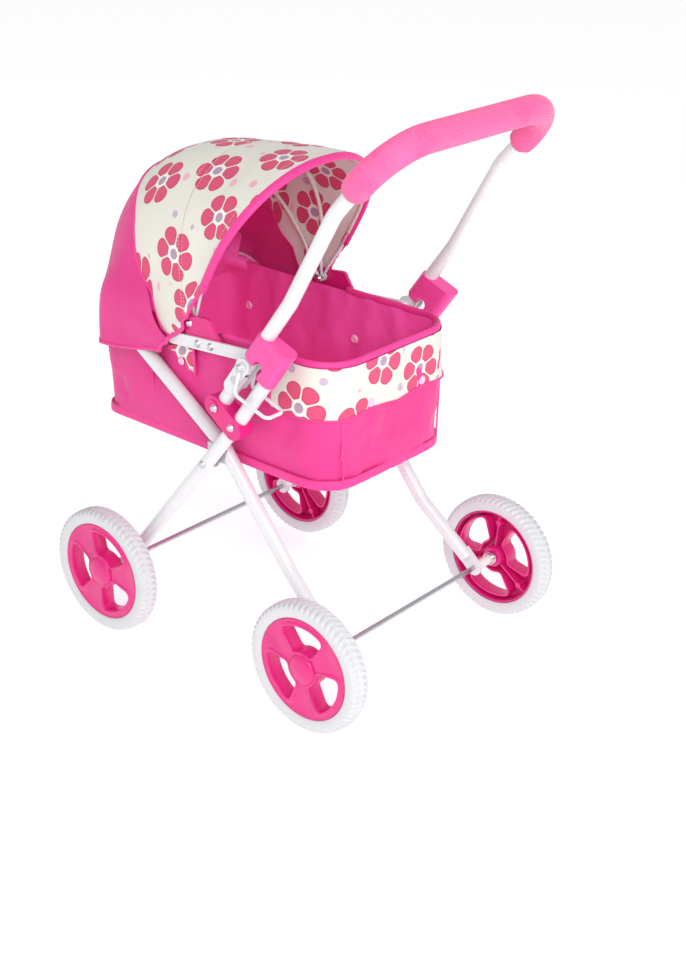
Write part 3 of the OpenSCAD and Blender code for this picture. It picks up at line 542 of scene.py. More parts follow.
# %% [markdown]
# ## Tyres
# The tyres are foamed plastic, moulded with some sixty slanting ribs that leave a scalloped edge. Each
# is a profile spun once round the axle. The cuts between the ribs are then pressed in by moving each
# vertex of the tread towards the axle, by an amount that depends on its angle.

# %% Spin a tyre
TYRE_R, TYRE_HALF, HUB_R, TREAD = 72.5, 12.0, 57.0, 62
TURNS = {"front_left": (-152.5, -1, -22), "front_right": (-152.5, 1, 30),
         "rear_left": (152.5, -1, 2), "rear_right": (152.5, 1, 5)}


def wheel_place(corner):
    """From a wheel's own axes, with z outwards, to its place on the pram."""
    x, s, turn = TURNS[corner]
    return (Matrix.Translation((x, s * 164.0, TYRE_R)) @ Matrix.Rotation(math.radians(-90 * s), 4, "X")
            @ Matrix.Rotation(math.radians(turn), 4, "Z"))


def spun(bm, profile, steps):
    """Spins a profile of (radius, z) once round the z axis."""
    chain = [bm.verts.new((r, 0, z)) for r, z in profile]
    edges = [bm.edges.new(pair) for pair in zip(chain, chain[1:])]
    bmesh.ops.spin(bm, geom=chain + edges, cent=(0, 0, 0), axis=(0, 0, 1), dvec=(0, 0, 0), angle=math.tau,
                   steps=steps, use_merge=True, use_duplicate=False)


TYRE_PROFILE = [(HUB_R, -9.6), (57.6, -10.4), (59.5, -11.2), (62.5, -11.8), (65.5, -11.9), (67.8, -11.7),
                (69.4, -11.1),
                (70.8, -10.0), (71.6, -8.6), (72.1, -6.8), (72.4, -4.6), (72.5, -2.2), (72.5, 0)]
TYRE_PROFILE += [(r, -z) for r, z in reversed(TYRE_PROFILE[:-1])]


def tread_cut(angle, z):
    """How far the mould presses in, from 0 on a rib to 1 in a cut."""
    wave = math.cos(TREAD * angle + 0.34 * abs(z) * 1.0 + (math.pi if z > 0 else 0.0))
    depth = max(0.0, wave - 0.05) / 0.95
    edge = min(1.0, max(0.0, (abs(z) - 1.4) / 2.4)) * min(1.0, max(0.0, (12.2 - abs(z)) / 1.6))
    return depth ** 0.8 * edge


for corner in TURNS:
    bm = bmesh.new()
    spun(bm, TYRE_PROFILE, TREAD * 8)
    for v in bm.verts:
        r = math.hypot(v.co.x, v.co.y)
        if r > 67.0:
            cut = 2.3 * tread_cut(math.atan2(v.co.y, v.co.x), v.co.z) * min(1.0, (r - 67.0) / 2.6)
            v.co.x, v.co.y = v.co.x * (r - cut) / r, v.co.y * (r - cut) / r
    bmesh.ops.transform(bm, matrix=wheel_place(corner), verts=bm.verts)
    finish(bm, "tyre_ribbed_" + corner, tyre_foam, "wheel_" + corner, ["tyre_" + corner])
print("tyres:", len(TURNS))

# %% [markdown]
# ## Wheel discs
# Each disc is one moulding: a face with three deep windows, a raised border round each window, a rim
# behind the tyre and a boss on the axle. The window's outline is a sector of a ring with round
# corners. One loop of it is extruded over the border and down the wall, and the flat faces between
# the loops are filled. On the inside there are thin ribs and screw posts between the windows.

# %% Window outline
def window_loop(turn, grow, z, ri=20.0, ro=48.0, half=36.0, c=5.5):
    """A rounded ring sector about angle turn, grown by grow, at height z."""
    ri, ro, c = ri - grow, ro + grow, c + grow
    widen = math.degrees(grow / 34.0)
    a_in = math.radians(half + widen) - math.asin(c / (ri + c))
    a_out = math.radians(half + widen) - math.asin(c / (ro - c))
    h = math.radians(half + widen)
    side_points = [(ro * math.cos(a_out * i / 9), ro * math.sin(a_out * i / 9)) for i in range(10)]
    for i in range(1, 7):
        a = a_out + i / 6 * (h + math.pi / 2 - a_out)
        side_points.append(((ro - c) * math.cos(a_out) + c * math.cos(a),
                            (ro - c) * math.sin(a_out) + c * math.sin(a)))
    for i in range(0, 8):
        a = h + math.pi / 2 + i / 7 * (a_in + math.pi / 2 - h)
        side_points.append(((ri + c) * math.cos(a_in) + c * math.cos(a),
                            (ri + c) * math.sin(a_in) + c * math.sin(a)))
    for i in range(1, 6):
        a = a_in * (1 - i / 5)
        side_points.append((ri * math.cos(a), ri * math.sin(a)))
    loop = side_points + [(x, -y) for x, y in reversed(side_points[1:-1])]
    t = math.radians(turn)
    return [Vector((x * math.cos(t) - y * math.sin(t), x * math.sin(t) + y * math.cos(t), z))
            for x, y in loop]


def fill_between(bm, loops):
    """Fills the flat region between closed loops of vertices."""
    edges = [bm.edges.get(pair) or bm.edges.new(pair) for loop in loops
             for pair in zip(loop, loop[1:] + loop[:1])]
    bmesh.ops.triangle_fill(bm, use_beauty=True, use_dissolve=False, edges=edges)


print("window points:", len(window_loop(90, 0, 0)))

# %% Mould a disc
FACE, SHELL = 9.9, 6.9


def circle(r, z, count=96):
    return [Vector((r * math.cos(math.tau * i / count), r * math.sin(math.tau * i / count), z))
            for i in range(count)]


for corner in TURNS:
    bm = bmesh.new()
    # rim behind the tyre, from the front face round to the shell's inner face
    rim = skin(bm, [circle(r, z) for r, z in [(54.6, FACE), (55.4, FACE + 0.5), (56.2, FACE + 0.3),
                                              (56.8, FACE - 0.5),
               (56.95, FACE - 1.6), (56.95, -8.4), (56.4, -9.2), (55.2, -9.4), (54.4, -8.6),
               (53.8, SHELL)]], closed=True)
    boss = skin(bm, [circle(r, z)
                     for r, z in [(12.6, SHELL), (12.1, -9.4), (11.4, -10.4), (3.2, -10.4), (3.2, 8.8)]],
                closed=True)
    bmesh.ops.contextual_create(bm, geom=boss[-1])
    front_loops, back_loops = [rim[0]], [rim[-1], boss[0]]
    for k in range(3):
        turn = 90 + 120 * k
        wall = skin(bm, [window_loop(turn, *row)
                         for row in [(5.2, FACE), (4.3, FACE + 0.25), (3.5, FACE + 0.95),
                    (2.7, FACE + 1.2), (1.2, FACE + 1.15), (0.45, FACE + 0.75), (0.05, FACE - 0.1),
                    (-0.5, -5.6),
                    (-0.2, -6.5), (0.9, -6.9), (2.0, -6.6), (2.3, SHELL)]], closed=True)
        front_loops.append(wall[0])
        back_loops.append(wall[-1])
    fill_between(bm, front_loops)
    fill_between(bm, back_loops)
    # ribs and screw posts on the inside
    for k in range(3):
        a = math.radians(30 + 120 * k)
        bmesh.ops.create_cube(bm, size=1,
                              matrix=Matrix.Rotation(a, 4, "Z") @ Matrix.Translation((34.0, 0, 0.2))
                              @ Matrix.Diagonal((42.0, 1.8, 13.0, 1)))
        bmesh.ops.create_cone(bm, cap_ends=True, segments=24, radius1=3.4, radius2=3.7, depth=14.0,
                              matrix=Matrix.Rotation(a, 4, "Z") @ Matrix.Translation((44.0, 0, 0.4)))
    bmesh.ops.transform(bm, matrix=wheel_place(corner), verts=bm.verts)
    disc = finish(bm, "disc_" + corner, pink_plastic, "wheel_" + corner, ["hub_" + corner])
    by_angle(disc, 38)
print("discs:", len(TURNS))

# %% [markdown]
# ## Caps, clips and rod ends
# A domed cap snaps into a round groove over the axle's end. Inside the wheel, a bright spring clip
# keeps the disc on its rod. Both are spun or swept round the axle.

# %% Caps and clips
for corner in TURNS:
    bm = bmesh.new()
    spun(bm, [(0, 15.7), (4.0, 15.6), (8.0, 15.1), (11.4, 14.3), (13.8, 13.4), (15.4, 12.4), (16.3, 11.4),
              (16.7, 10.5),
              (16.8, 9.95), (0, 9.95)], 72)
    bmesh.ops.transform(bm, matrix=wheel_place(corner), verts=bm.verts)
    finish(bm, "cap_domed_" + corner, pink_plastic, "wheel_" + corner, ["cap_" + corner])
    x, s, _ = TURNS[corner]
    bm = bmesh.new()
    coil = [(Vector((x + 6.9 * math.cos(a), s * (146.2 + 1.9 * a / math.tau), TYRE_R + 6.9 * math.sin(a))),
             Vector((-math.sin(a), 0.04 * s, math.cos(a))))
             for a in (math.tau * i / 22 for i in range(int(22 * 3.2)))]
    tube(bm, coil, 0.75, 8)
    finish(bm, "axle_spring_" + corner, chrome, "front_frame" if x < 0 else "rear_frame")
print("caps and springs done")

# %% [markdown]
# ## The grip
# A long sleeve of pink foam covers the handle's cross part and its corners. Fine ribs run along it,
# as on a bicycle grip, and each end is rounded down to the tube. It is one ring of points, with a
# ripple for the ribs, swept along the handle's own path.

# %% Ribbed grip
HINGE = Vector((38.5, 0, 362.0))
OUTER = 130.0


def heading(degrees):
    return Vector((math.cos(math.radians(degrees)), 0, math.sin(math.radians(degrees))))


handle_bends = [HINGE - 8 * heading(54.6), HINGE + 94.5 * heading(54.6)]
handle_bends.append(handle_bends[1] + 112.4 * heading(61.4))
handle_bends.append(handle_bends[2] + 96.5 * heading(48.9))
arm_out = Vector((0, OUTER, 0))
arm_start = handle_bends[3] - 68 * heading(48.9)
grip_path = round_path([arm_start - arm_out, handle_bends[3] - arm_out, handle_bends[3] + arm_out,
                        arm_start + arm_out],
                       [0, 52, 52, 0], 4.0)
total = len(grip_path) - 1


def grip_size(share):
    """Full size along the grip, rounded down to the tube over the last few millimetres."""
    from_end = min(share, 1 - share) * total * 4.0
    return 8.4 + 5.5 * math.sqrt(max(0.0, 1 - (1 - min(1.0, from_end / 9.0)) ** 2))


bm = bmesh.new()
tube(bm, grip_path, grip_size, 216, lobes=lambda a: 1 + 0.022 * math.cos(36 * a), normal=(0, 0, 1))
grip = finish(bm, "grip_ribbed", grip_foam, "handle", ["handle_grip"])
print("grip: %d faces" % len(grip.data.polygons))

# %% [markdown]
# ## Painted tubes
# The frame's tubes are already right in shape, so the solids stay. Each only needs its finish.

# %% Finishes for the solids
FINISHES = {
    white_paint: ["rear_leg_frame", "side_rail_left", "side_rail_right", "front_leg_left", "front_leg_right",
                  "lock_post_left", "lock_post_right", "pivot_stub_left", "pivot_stub_right",
                  "fork_plates_left",
                  "fork_plates_right", "handle_tube", "lock_bail_left", "lock_bail_right", "hood_bow_front"],
    white_plastic: ["rear_bush_left", "rear_bush_right", "front_bush_left", "front_bush_right"],
    pink_plastic: ["hood_bracket_left", "hood_bracket_right", "joint_block_left", "joint_block_right"],
    sleeve_plastic: ["lock_sleeve_left", "lock_sleeve_right"],
    zinc: ["rear_axle", "front_axle", "scissor_lug_left", "scissor_lug_right", "bracket_rivets",
           "scissor_rivet_left",
           "scissor_rivet_right", "hinge_pin_left", "hinge_pin_right", "block_rivets"],
}
for material, names in FINISHES.items():
    for name in names:
        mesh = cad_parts[name].data
        mesh.materials.clear()
        mesh.materials.append(material)
print("solids with a finish:", sum(len(names) for names in FINISHES.values()))

# %% [markdown]
# ## The bassinet's walls
# The bassinet is a bag of pink nylon that hangs from the frame round a stiff base. Its plan is a
# rectangle with round corners, wider rounds at the foot. The wall is a sheet of cloth wrapped round
# that plan. A short cloth simulation, with the rim and hem held and the cloth a little too big for
# its place, gives it real folds, and a cap on each point's travel keeps it clear of the frame.

# %% Plan of the bassinet and the cloth simulation
TUB = dict(head=-216.0, foot=122.0, half=100.5, head_r=22.0, foot_r=42.0, low=232.0, rim=366.0)


def tub_outline(grow=0.0, spacing=6.0):
    """The bassinet's plan from the middle of the head end all the way round.

    Gives points with outward normals, and the length travelled to each."""
    x0, x1, h = TUB["head"] - grow, TUB["foot"] + grow, TUB["half"] + grow
    rb, rf = TUB["head_r"] + grow, TUB["foot_r"] + grow
    corners = [((x0 + rb, -h + rb), rb, 180), ((x1 - rf, -h + rf), rf, 270), ((x1 - rf, h - rf), rf, 0),
               ((x0 + rb, h - rb), rb, 90)]
    points = [(Vector((x0, 0, 0)), Vector((-1, 0, 0)))]
    for (cx, cy), r, a0 in corners:
        n = max(4, int(r * math.pi / 2 / spacing))
        ring = [(Vector((cx + r * math.cos(a), cy + r * math.sin(a), 0)),
                 Vector((math.cos(a), math.sin(a), 0)))
                for a in (math.radians(a0 + 90 * i / n) for i in range(n + 1))]
        last = points[-1][0]
        m = max(2, int((ring[0][0] - last).length / spacing))
        points += [(last.lerp(ring[0][0], i / m), ring[0][1]) for i in range(1, m)] + ring
    last, m = points[-1][0], max(2, int((points[-1][0] - points[0][0]).length / spacing))
    points += [(last.lerp(points[0][0], i / m), Vector((-1, 0, 0))) for i in range(1, m + 1)]
    lengths = [0.0]
    for a, b in zip(points, points[1:]):
        lengths.append(lengths[-1] + (b[0] - a[0]).length)
    return points, lengths


def settle(piece, held, swell=0.05, frames=16, cap=4.0, stiff=12.0, seed=3, side=1):
    """Runs a short cloth simulation and keeps its result, with each point's travel capped in millimetres.
    held(co) is how firmly a point is held, from 0 to 1. Towards the sheet on its other side, which lies
    inwards for side 1 and outwards for side -1, a point travels no more than 0.7 mm."""
    rest = [v.co.copy() for v in piece.data.vertices]
    facing = [v.normal * (1 if v.normal.dot(v.co - Vector((-0.05, 0, v.co.z))) > 0 else -1)
              for v in piece.data.vertices]
    random.seed(seed)
    for v in piece.data.vertices:
        if held(v.co) < 0.99:
            v.co += v.normal * (random.random() - 0.5) * 0.0009
    group = piece.vertex_groups.new(name="held")
    for v in piece.data.vertices:
        group.add([v.index], held(rest[v.index]), "REPLACE")
    cloth = piece.modifiers.new("cloth", "CLOTH")
    cloth.settings.quality = 6
    cloth.settings.mass = 0.12
    cloth.settings.tension_stiffness = cloth.settings.compression_stiffness = stiff
    cloth.settings.shear_stiffness = stiff * 0.5
    cloth.settings.bending_stiffness = 0.35
    cloth.settings.vertex_group_mass = "held"
    cloth.settings.shrink_min = -swell
    cloth.settings.effector_weights.gravity = 0.35
    cloth.collision_settings.use_collision = False
    cloth.point_cache.frame_start, cloth.point_cache.frame_end = 1, frames
    for frame_number in range(1, frames + 1):
        scene.frame_set(frame_number)
    moved = piece.evaluated_get(bpy.context.evaluated_depsgraph_get()).to_mesh()
    places = [v.co.copy() for v in moved.vertices]
    piece.modifiers.remove(cloth)
    piece.vertex_groups.clear()
    for v, a, b, out in zip(piece.data.vertices, rest, places, facing):
        step_away = b - a
        towards = -side * step_away.dot(out)
        if towards > 0.7 * MM:
            step_away += side * out * (towards - 0.7 * MM)
        if step_away.length > cap * MM:
            step_away *= cap * MM / step_away.length
        v.co = a + step_away
    scene.frame_set(1)
    piece.data.update()
    return piece


def wall(name, material, grow, low, high, push, rows=22, spacing=6.0):
    """A sheet round the bassinet from low to high.

    push(point, normal, share, length) is an extra step outwards."""
    points, lengths = tub_outline(grow, spacing)
    bm = bmesh.new()
    chains = []
    for j in range(rows + 1):
        share = j / rows
        z = low + (high - low) * share
        chains.append([p + n * push(p, n, share, s) + Vector((0, 0, z)) for (p, n),
                       s in zip(points, lengths)])
    grid = skin(bm, chains)
    unroll(bm, grid, lambda j, i: (lengths[i] * MM, (low + (high - low) * j / rows) * MM))
    return finish(bm, name, material, None), lengths[-1]


print("plan: %d points, %.0f mm round" % (len(tub_outline()[0]), tub_outline()[1][-1]))

# %% [markdown]
# ## Outer wall, lining and hem
# At the foot end the cloth is gathered into its hem, so small upright pleats rise from below and fade
# half way up. They are pressed in before the simulation, which then softens them. The lining hangs
# 3 mm inside the outer wall, and its upper edge is a little looser.

# %% Outer wall
def foot_share(p):
    return min(1.0, max(0.0, (p.x - 40.0) / 60.0))


def outer_push(p, n, share, s):
    pleat = noise.noise(Vector((s / 6.5, 2.0, 0))) * 2.1 + noise.noise(Vector((s / 3.1, 7.0, 0))) * 0.6
    fade = max(0.0, 1 - share / 0.62)
    belly = 1.6 * math.sin(math.pi * share)
    slow = noise.noise(Vector((s / 42.0, share * 2.4, 1.0))) * 1.5 * math.sin(math.pi * share)
    head_pleat = 0.35 if p.x < -120 else 0.18
    return belly + slow + pleat * fade * max(foot_share(p), head_pleat) - 0.6


outer_wall, round_length = wall("bassinet_outer_wall", pink_cloth, 0.0, TUB["low"] + 1, TUB["rim"],
                                outer_push)
outer_wall = settle(outer_wall, lambda co: 1.0 if co.z > 0.3645 or co.z < 0.2335 else 0.0, cap=3.2)
subdivide(outer_wall)
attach(outer_wall, "rear_frame")
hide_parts("bassinet_tub")


def lining_push(p, n, share, s):
    slow = noise.noise(Vector((s / 30.0, share * 3.0, 5.0))) * 1.8 * math.sin(math.pi * share)
    loose = noise.noise(Vector((s / 9.0, share * 5.0, 9.0))) * 0.9 * share * (1 - share) * 4
    return slow + loose - 1.6 * math.sin(math.pi * share) - 0.4


lining, lining_length = wall("bassinet_lining", lit_lining_cloth, -3.4, TUB["low"] + 5, TUB["rim"] + 0.5,
                             lining_push)
lining = settle(lining, lambda co: 1.0 if co.z > 0.3655 or co.z < 0.2385 else 0.0, cap=2.6, seed=8, side=-1)
subdivide(lining)
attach(lining, "rear_frame")

# %% Hem and its stitch line
def hem_push(p, n, share, s):
    ripple = noise.noise(Vector((s / 7.5, 3.3, 0))) * 0.9 * foot_share(p)
    corner = 1.6 * max(0.0, abs(n.x * n.y) * 2 - 0.3)
    return 1.3 + ripple + corner * (1 - share) + 0.5 * math.sin(math.pi * share)


hem, hem_length = wall("bassinet_hem", binding_cloth, 0.0, TUB["low"] - 1.0, TUB["low"] + 9.5, hem_push,
                       rows=5, spacing=4.0)
thick = hem.modifiers.new("fold", "SOLIDIFY")
thick.thickness, thick.offset = 0.0012, 0
subdivide(hem)
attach(hem, "rear_frame")


def stitches(name, path, material, body, length=2.6, space=1.5, radius=0.28):
    """Single stitches along a path of points, each a short bulging thread."""
    bm = bmesh.new()
    travelled, nxt = 0.0, 0.0
    for a, b in zip(path, path[1:]):
        d = b - a
        while nxt < travelled + d.length:
            t = (nxt - travelled) / d.length
            p = a + d * t
            u = d.normalized()
            rows = [ring_at(p + u * (k * length / 3 - length / 2), u, radius * w, 5)
                    for k, w in enumerate((0.5, 1, 1, 0.5))]
            grid = skin(bm, rows, closed=True)
            for ring in (grid[0], grid[-1]):
                bmesh.ops.contextual_create(bm, geom=ring)
            nxt += length + space
        travelled += d.length
    return finish(bm, name, material, body)


hem_points, _ = tub_outline(3.0, 4.0)
hem_stitch = stitches("bassinet_hem_stitches",
                      [p + Vector((0, 0, TUB["low"] + 7.8)) for p, n in hem_points], thread_cloth,
                      "rear_frame")
print("hem: %d faces, stitches: %d" % (len(hem.data.polygons), len(hem_stitch.data.polygons)))

# %% [markdown]
# ## Upright seams and the base
# Piped seams run down the wall where its panels meet, near the hood and beside the foot. Inside, a thin
# padded board lies on the bottom. It is a crowned form, flat below, with a soft round edge.

# %% Seams
def wall_point(s, z, grow):
    points, lengths = tub_outline(0.0, 2.0)
    i = min(range(len(lengths)), key=lambda k: abs(lengths[k] - s % lengths[-1]))
    return points[i][0] + points[i][1] * grow + Vector((0, 0, z))


for label, s, top in (("near_head", 100.5 + 75, 366), ("near_foot", round_length / 2 - 78, 312),
                      ("far_foot", round_length / 2 + 78, 312), ("far_head", round_length - 175.5, 366)):
    path = [wall_point(s + 1.2 * math.sin(z / 17.0), z, 1.9 + 1.4 * math.sin(math.pi * (z - 236) / 130))
            for z in range(238, top, 4)]
    bm = bmesh.new()
    tube(bm, [(p, (b - a)) for p, a, b in zip(path, [path[0]] + path[:-1], path[1:] + [path[-1]])], 1.0, 8)
    finish(bm, "wall_seam_" + label, binding_cloth, "rear_frame")
print("four seams")

# %% Base pad
plan, _ = tub_outline(-5.0, 8.0)
plan = [p for p, n in plan[:-1]]
middle = sum((p for p in plan), Vector()) / len(plan)
bm = bmesh.new()
rows = []
for inset, z in ((3.0, 236.2), (0.6, 237.4), (0.0, 240.2), (0.8, 243.6), (3.5, 246.0), (9.0, 247.6),
                 (20.0, 248.8), (40.0, 249.6),
                 (62.0, 250.0)):
    rows.append([p + (middle - p).normalized() * inset
                 + Vector((0, 0, z + 0.9 * noise.noise(p / 26.0 + Vector((0, 0, inset))))) for p in plan])
grid = skin(bm, rows, closed=True)
for ring in (grid[0], grid[-1]):
    bmesh.ops.contextual_create(bm, geom=ring)
pad = finish(bm, "base_pad", lit_lining_cloth, None)
subdivide(pad)
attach(pad, "rear_frame")
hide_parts("base_board")
print("pad:", len(pad.data.polygons))

# %% [markdown]
# ## Binding and printed band
# A folded tape closes the bassinet's rim from one hood bracket to the other. Under it, a band of the
# printed cloth runs round the foot end, held at its lower edge by press studs, so that it sags and
# stands off a little between them. Its lower edge has a narrow pink tape of its own.

# %% Rim binding
def oval(high, wide):
    """A flat round section for tapes: high along the ring's first direction, wide across it."""
    return lambda a: 1 / math.sqrt((math.cos(a) / high) ** 2 + (math.sin(a) / wide) ** 2)


def as_path(points):
    return [(p, b - a) for p, a, b in zip(points, [points[0]] + points[:-1], points[1:] + [points[-1]])]


rim_points, rim_lengths = tub_outline(-1.6, 4.0)
rim_path = [p + Vector((0, 0, 366.6 + 0.5 * noise.noise(p / 22.0))) for (p, n) in rim_points if p.x > -30]
bm = bmesh.new()
tube(bm, as_path(rim_path), 1.0, 16, lobes=oval(4.6, 2.9), normal=(0, 0, 1))
rim = finish(bm, "rim_tape", binding_cloth, "rear_frame", ["rim_binding"])
stitches("rim_tape_stitches",
                      [p + n * 2.95 + Vector((0, 0, 363.6)) for p, n in rim_points if p.x > -30],
                      thread_cloth, "rear_frame", length=2.2, space=1.4, radius=0.22)

# %% Printed band
band_points, band_lengths = tub_outline(1.6, 4.0)
band = [(p, n, s) for (p, n), s in zip(band_points, band_lengths) if p.x > 43]
middle_s = band_lengths[-1] / 2
STUDS = (middle_s - 42, middle_s + 42)


def band_drop(s):
    """How far the band's edge hangs below its studs, and how far it stands off the wall."""
    nearest = min(abs(s - t) for t in STUDS)
    ease = min(1.0, nearest / 40.0)
    return 3.4 * ease ** 1.4, 0.4 + 2.4 * ease ** 1.3


bm = bmesh.new()
rows = []
for j in range(15):
    share = j / 14
    row = []
    for p, n, s in band:
        drop, off = band_drop(s)
        z = 365.0 - share * (52.0 + drop)
        wave = 0.8 * noise.noise(Vector((s / 17.0, share * 1.5, 4.0))) * share
        row.append(p + n * (off * share ** 2 + wave + 0.5) + Vector((0, 0, z)))
    rows.append(row)
grid = skin(bm, rows)
unroll(bm, grid, lambda j, i: (band[i][2] * MM + 0.013, -0.056 * j / 14 + 0.031))
band_sheet = finish(bm, "printed_band_cloth", printed_cloth, None)
thick = band_sheet.modifiers.new("thickness", "SOLIDIFY")
thick.thickness, thick.offset = 0.0006, 1
subdivide(band_sheet)
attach(band_sheet, "rear_frame")
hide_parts("printed_band")
edge = [rows[j][0] for j in range(14)] + rows[-1] + [rows[j][-1] for j in range(13, -1, -1)]
bm = bmesh.new()
tube(bm, as_path(edge), 1.0, 12, lobes=oval(2.3, 1.1), normal=(0, 0, 1))
finish(bm, "printed_band_tape", binding_cloth, "rear_frame")
print("band:", len(band), "columns")

# %% Press studs
def stud(name, place, direction, body, radius=4.3, high=2.0):
    """A press stud: a low button with a dished middle and a flat collar."""
    bm = bmesh.new()
    spun(bm, [(radius + 1.0, 0.0), (radius + 1.0, 0.5), (radius + 0.2, 0.9), (radius, high * 0.7),
              (radius * 0.84, high),
              (radius * 0.6, high * 0.92), (radius * 0.42, high * 0.66), (0, high * 0.6)], 32)
    turn = Vector((0, 0, 1)).rotation_difference(Vector(direction)).to_matrix().to_4x4()
    bmesh.ops.transform(bm, matrix=Matrix.Translation(place) @ turn, verts=bm.verts)
    piece = finish(bm, name, stud_plastic, body)
    return piece


first = stud("band_stud_1", Vector((124.6, -42, 318.5)), (1, 0, 0), "rear_frame")
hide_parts("snap_buttons")
stud("band_stud_2", Vector((124.6, 42, 318.5)), (1, 0, 0), "rear_frame")
for label, s, x in (("near_head", 1, -177), ("near_foot", 1, -13), ("far_head", -1, -177),
                    ("far_foot", -1, -13)):
    stud("lining_stud_" + label, Vector((x, s * 95.2, 314)), (0, -s, 0), "rear_frame")
print("studs: 6")

# %% [markdown]
# ## The hood's cloth
# The hood is cloth stretched over three wire bows that turn about one pivot on each side. Its surface
# is described in the bows' own terms: an angle round the pivot, a radius, and a profile with straight
# sides and a round top. The radius dips a little between two bows, as stretched cloth does. Two sheets
# meet at the middle bow, because each bends over its own joint when the hood folds.

# %% The hood's surface
PIVOT = Vector((-68.0, 0, 373.0))
RADII = [(60.0, 197.4), (62.0, 196.6), (70.0, 185.0), (80.0, 174.6), (89.0, 170.0), (97.0, 168.4),
         (106.0, 171.5),
         (116.0, 177.0), (125.0, 181.6), (132.0, 184.0), (136.0, 184.4)]
WIDTHS = [(60.0, 114.4), (79.0, 111.6), (97.0, 111.2), (114.0, 108.8), (136.0, 108.4)]
REAR_EDGE = [(6.0, 225.0), (29.7, 221.5), (38.0, 206.0), (44.0, 192.0), (50.0, 168.0), (58.0, 157.5),
             (70.0, 155.0),
             (83.0, 151.5), (100.0, 144.0), (115.0, 138.5), (130.0, 135.0), (145.0, 133.8), (182.0, 134.5)]
LOW_EDGE = [(60.0, 52.0), (63.0, 40.0), (67.0, 27.0), (72.0, 17.0), (79.0, 10.0), (88.0, 6.6), (97.0, 6.0)]


def between(table, x):
    """A value read off a table, with a straight line between two entries."""
    for (x0, y0), (x1, y1) in zip(table, table[1:]):
        if x <= x1:
            return y0 + (y1 - y0) * max(0.0, (x - x0) / (x1 - x0))
    return table[-1][1]


def near_pivot(radius):
    """1 beside the pivot, where the cloth lies outside the rail, falling to 0 further up."""
    t = min(1.0, max(0.0, (radius - 34.0) / 48.0))
    return 1 - t * t * (3 - 2 * t)


def profile(theta, low):
    """The hood's section at one angle, from the near edge over the top to the far edge: (radius, y)."""
    w, top = between(WIDTHS, theta), between(RADII, theta)
    rc = 0.94 * w
    side_points = [(low + (top - rc - low) * i / 9, w) for i in range(10)]
    corner_points = [(top - rc + rc * math.sin(a), w - rc + rc * math.cos(a))
                     for a in (math.pi / 2 * i / 16 for i in range(1, 17))]
    half = [(r, y + (113.5 - w) * near_pivot(r)) for r, y in side_points + corner_points]
    return [(r, -y) for r, y in half] + [(top, 0.0)] + [(r, y) for r, y in reversed(half)]


def on_bow(theta, radius, y):
    a = math.radians(theta)
    return Vector((PIVOT.x + radius * math.cos(a), y, PIVOT.z + radius * math.sin(a)))


def lengths_of(points):
    out = [0.0]
    for a, b in zip(points, points[1:]):
        out.append(out[-1] + math.hypot(b[0] - a[0], b[1] - a[1]))
    return [x - out[-1] / 2 for x in out]


def strain(theta, radius, y, seed):
    """Shallow folds in the cloth: fans of tension near the pivot, and soft dents higher up."""
    fan = noise.noise(Vector((theta / 5.5, radius / 90.0, seed))) * 1.5 * max(0.0, 1 - radius / 130.0)
    soft = noise.noise(Vector((theta / 16.0, radius / 45.0 + y / 60.0, seed + 4))) * 1.3
    return fan + soft


def hood_rows(angles, seed, rear=False):
    """Rows of points and their UV places for one hood sheet. Each angle gives one row."""
    rows, flats = [], []
    for theta, share in angles:
        if rear:
            start, end = profile(97.0, 6.0), profile(134.0, 6.0)
            start_top, end_top = between(RADII, 97.0), between(RADII, 134.0)
            line = []
            for (r0, y0), (r1, y1) in zip(start, end):
                edge = between(REAR_EDGE, r1)
                mid = between(RADII, 97.0 + share * 37.0) - (start_top + (end_top - start_top) * share)
                r = r0 + (r1 - r0) * share
                line.append((97.0 + share * (edge - 97.0), r + mid * (r / 180.0) ** 2,
                             y0 + (y1 - y0) * share))
        else:
            line = [(theta, r, y) for r, y in profile(theta, between(LOW_EDGE, theta))]
        flat_s = lengths_of([(r, y) for _, r, y in line])
        fade = math.sin(math.pi * min(1.0, max(0.0, share))) ** 0.7
        row, flat_row = [], []
        for (t, r, y), s in zip(line, flat_s):
            dent = strain(t, r, y, seed) * fade * (1 - near_pivot(r))
            sag = -2.2 * fade * (1 - near_pivot(r)) * max(0.0, abs(y) / 111.0) ** 6
            outward = (y / 111.0) * (dent + sag)
            row.append(on_bow(t, r + dent * (1 - abs(y) / 118.0), y + outward))
            flat_row.append(((t - 97.0) * math.pi / 180 * r * MM, s * MM))
        rows.append(row)
        flats.append(flat_row)
    return rows, flats


def sheet_size(rows):
    """The area of a grid of points, in square metres, and its mean width and length."""
    area = 0.0
    for a, b in zip(rows, rows[1:]):
        for i in range(len(a) - 1):
            area += ((b[i] - a[i]).cross(a[i + 1] - a[i]).length
                     + (b[i + 1] - a[i + 1]).cross(b[i + 1] - b[i]).length) / 2
    length = sum((b - a).length for a, b in zip(rows[len(rows) // 2], rows[len(rows) // 2][1:]))
    return area * 1e-6, length * MM, area * 1e-3 / length


def cloth_piece(name, rows, flats, material, thickness=0.0008, offset=-1):
    bm = bmesh.new()
    grid = skin(bm, rows)
    unroll(bm, grid, lambda j, i: flats[j][i])
    piece = finish(bm, name, material, None)
    thick = piece.modifiers.new("thickness", "SOLIDIFY")
    thick.thickness, thick.offset = thickness, offset
    return subdivide(piece)


front_rows, front_flats = hood_rows([(60.6 + 36.4 * k / 22, k / 22) for k in range(23)], 11.0)
rear_rows, rear_flats = hood_rows([(0, k / 22) for k in range(23)], 23.0, rear=True)
print("hood rows:", len(front_rows), "x", len(front_rows[0]))


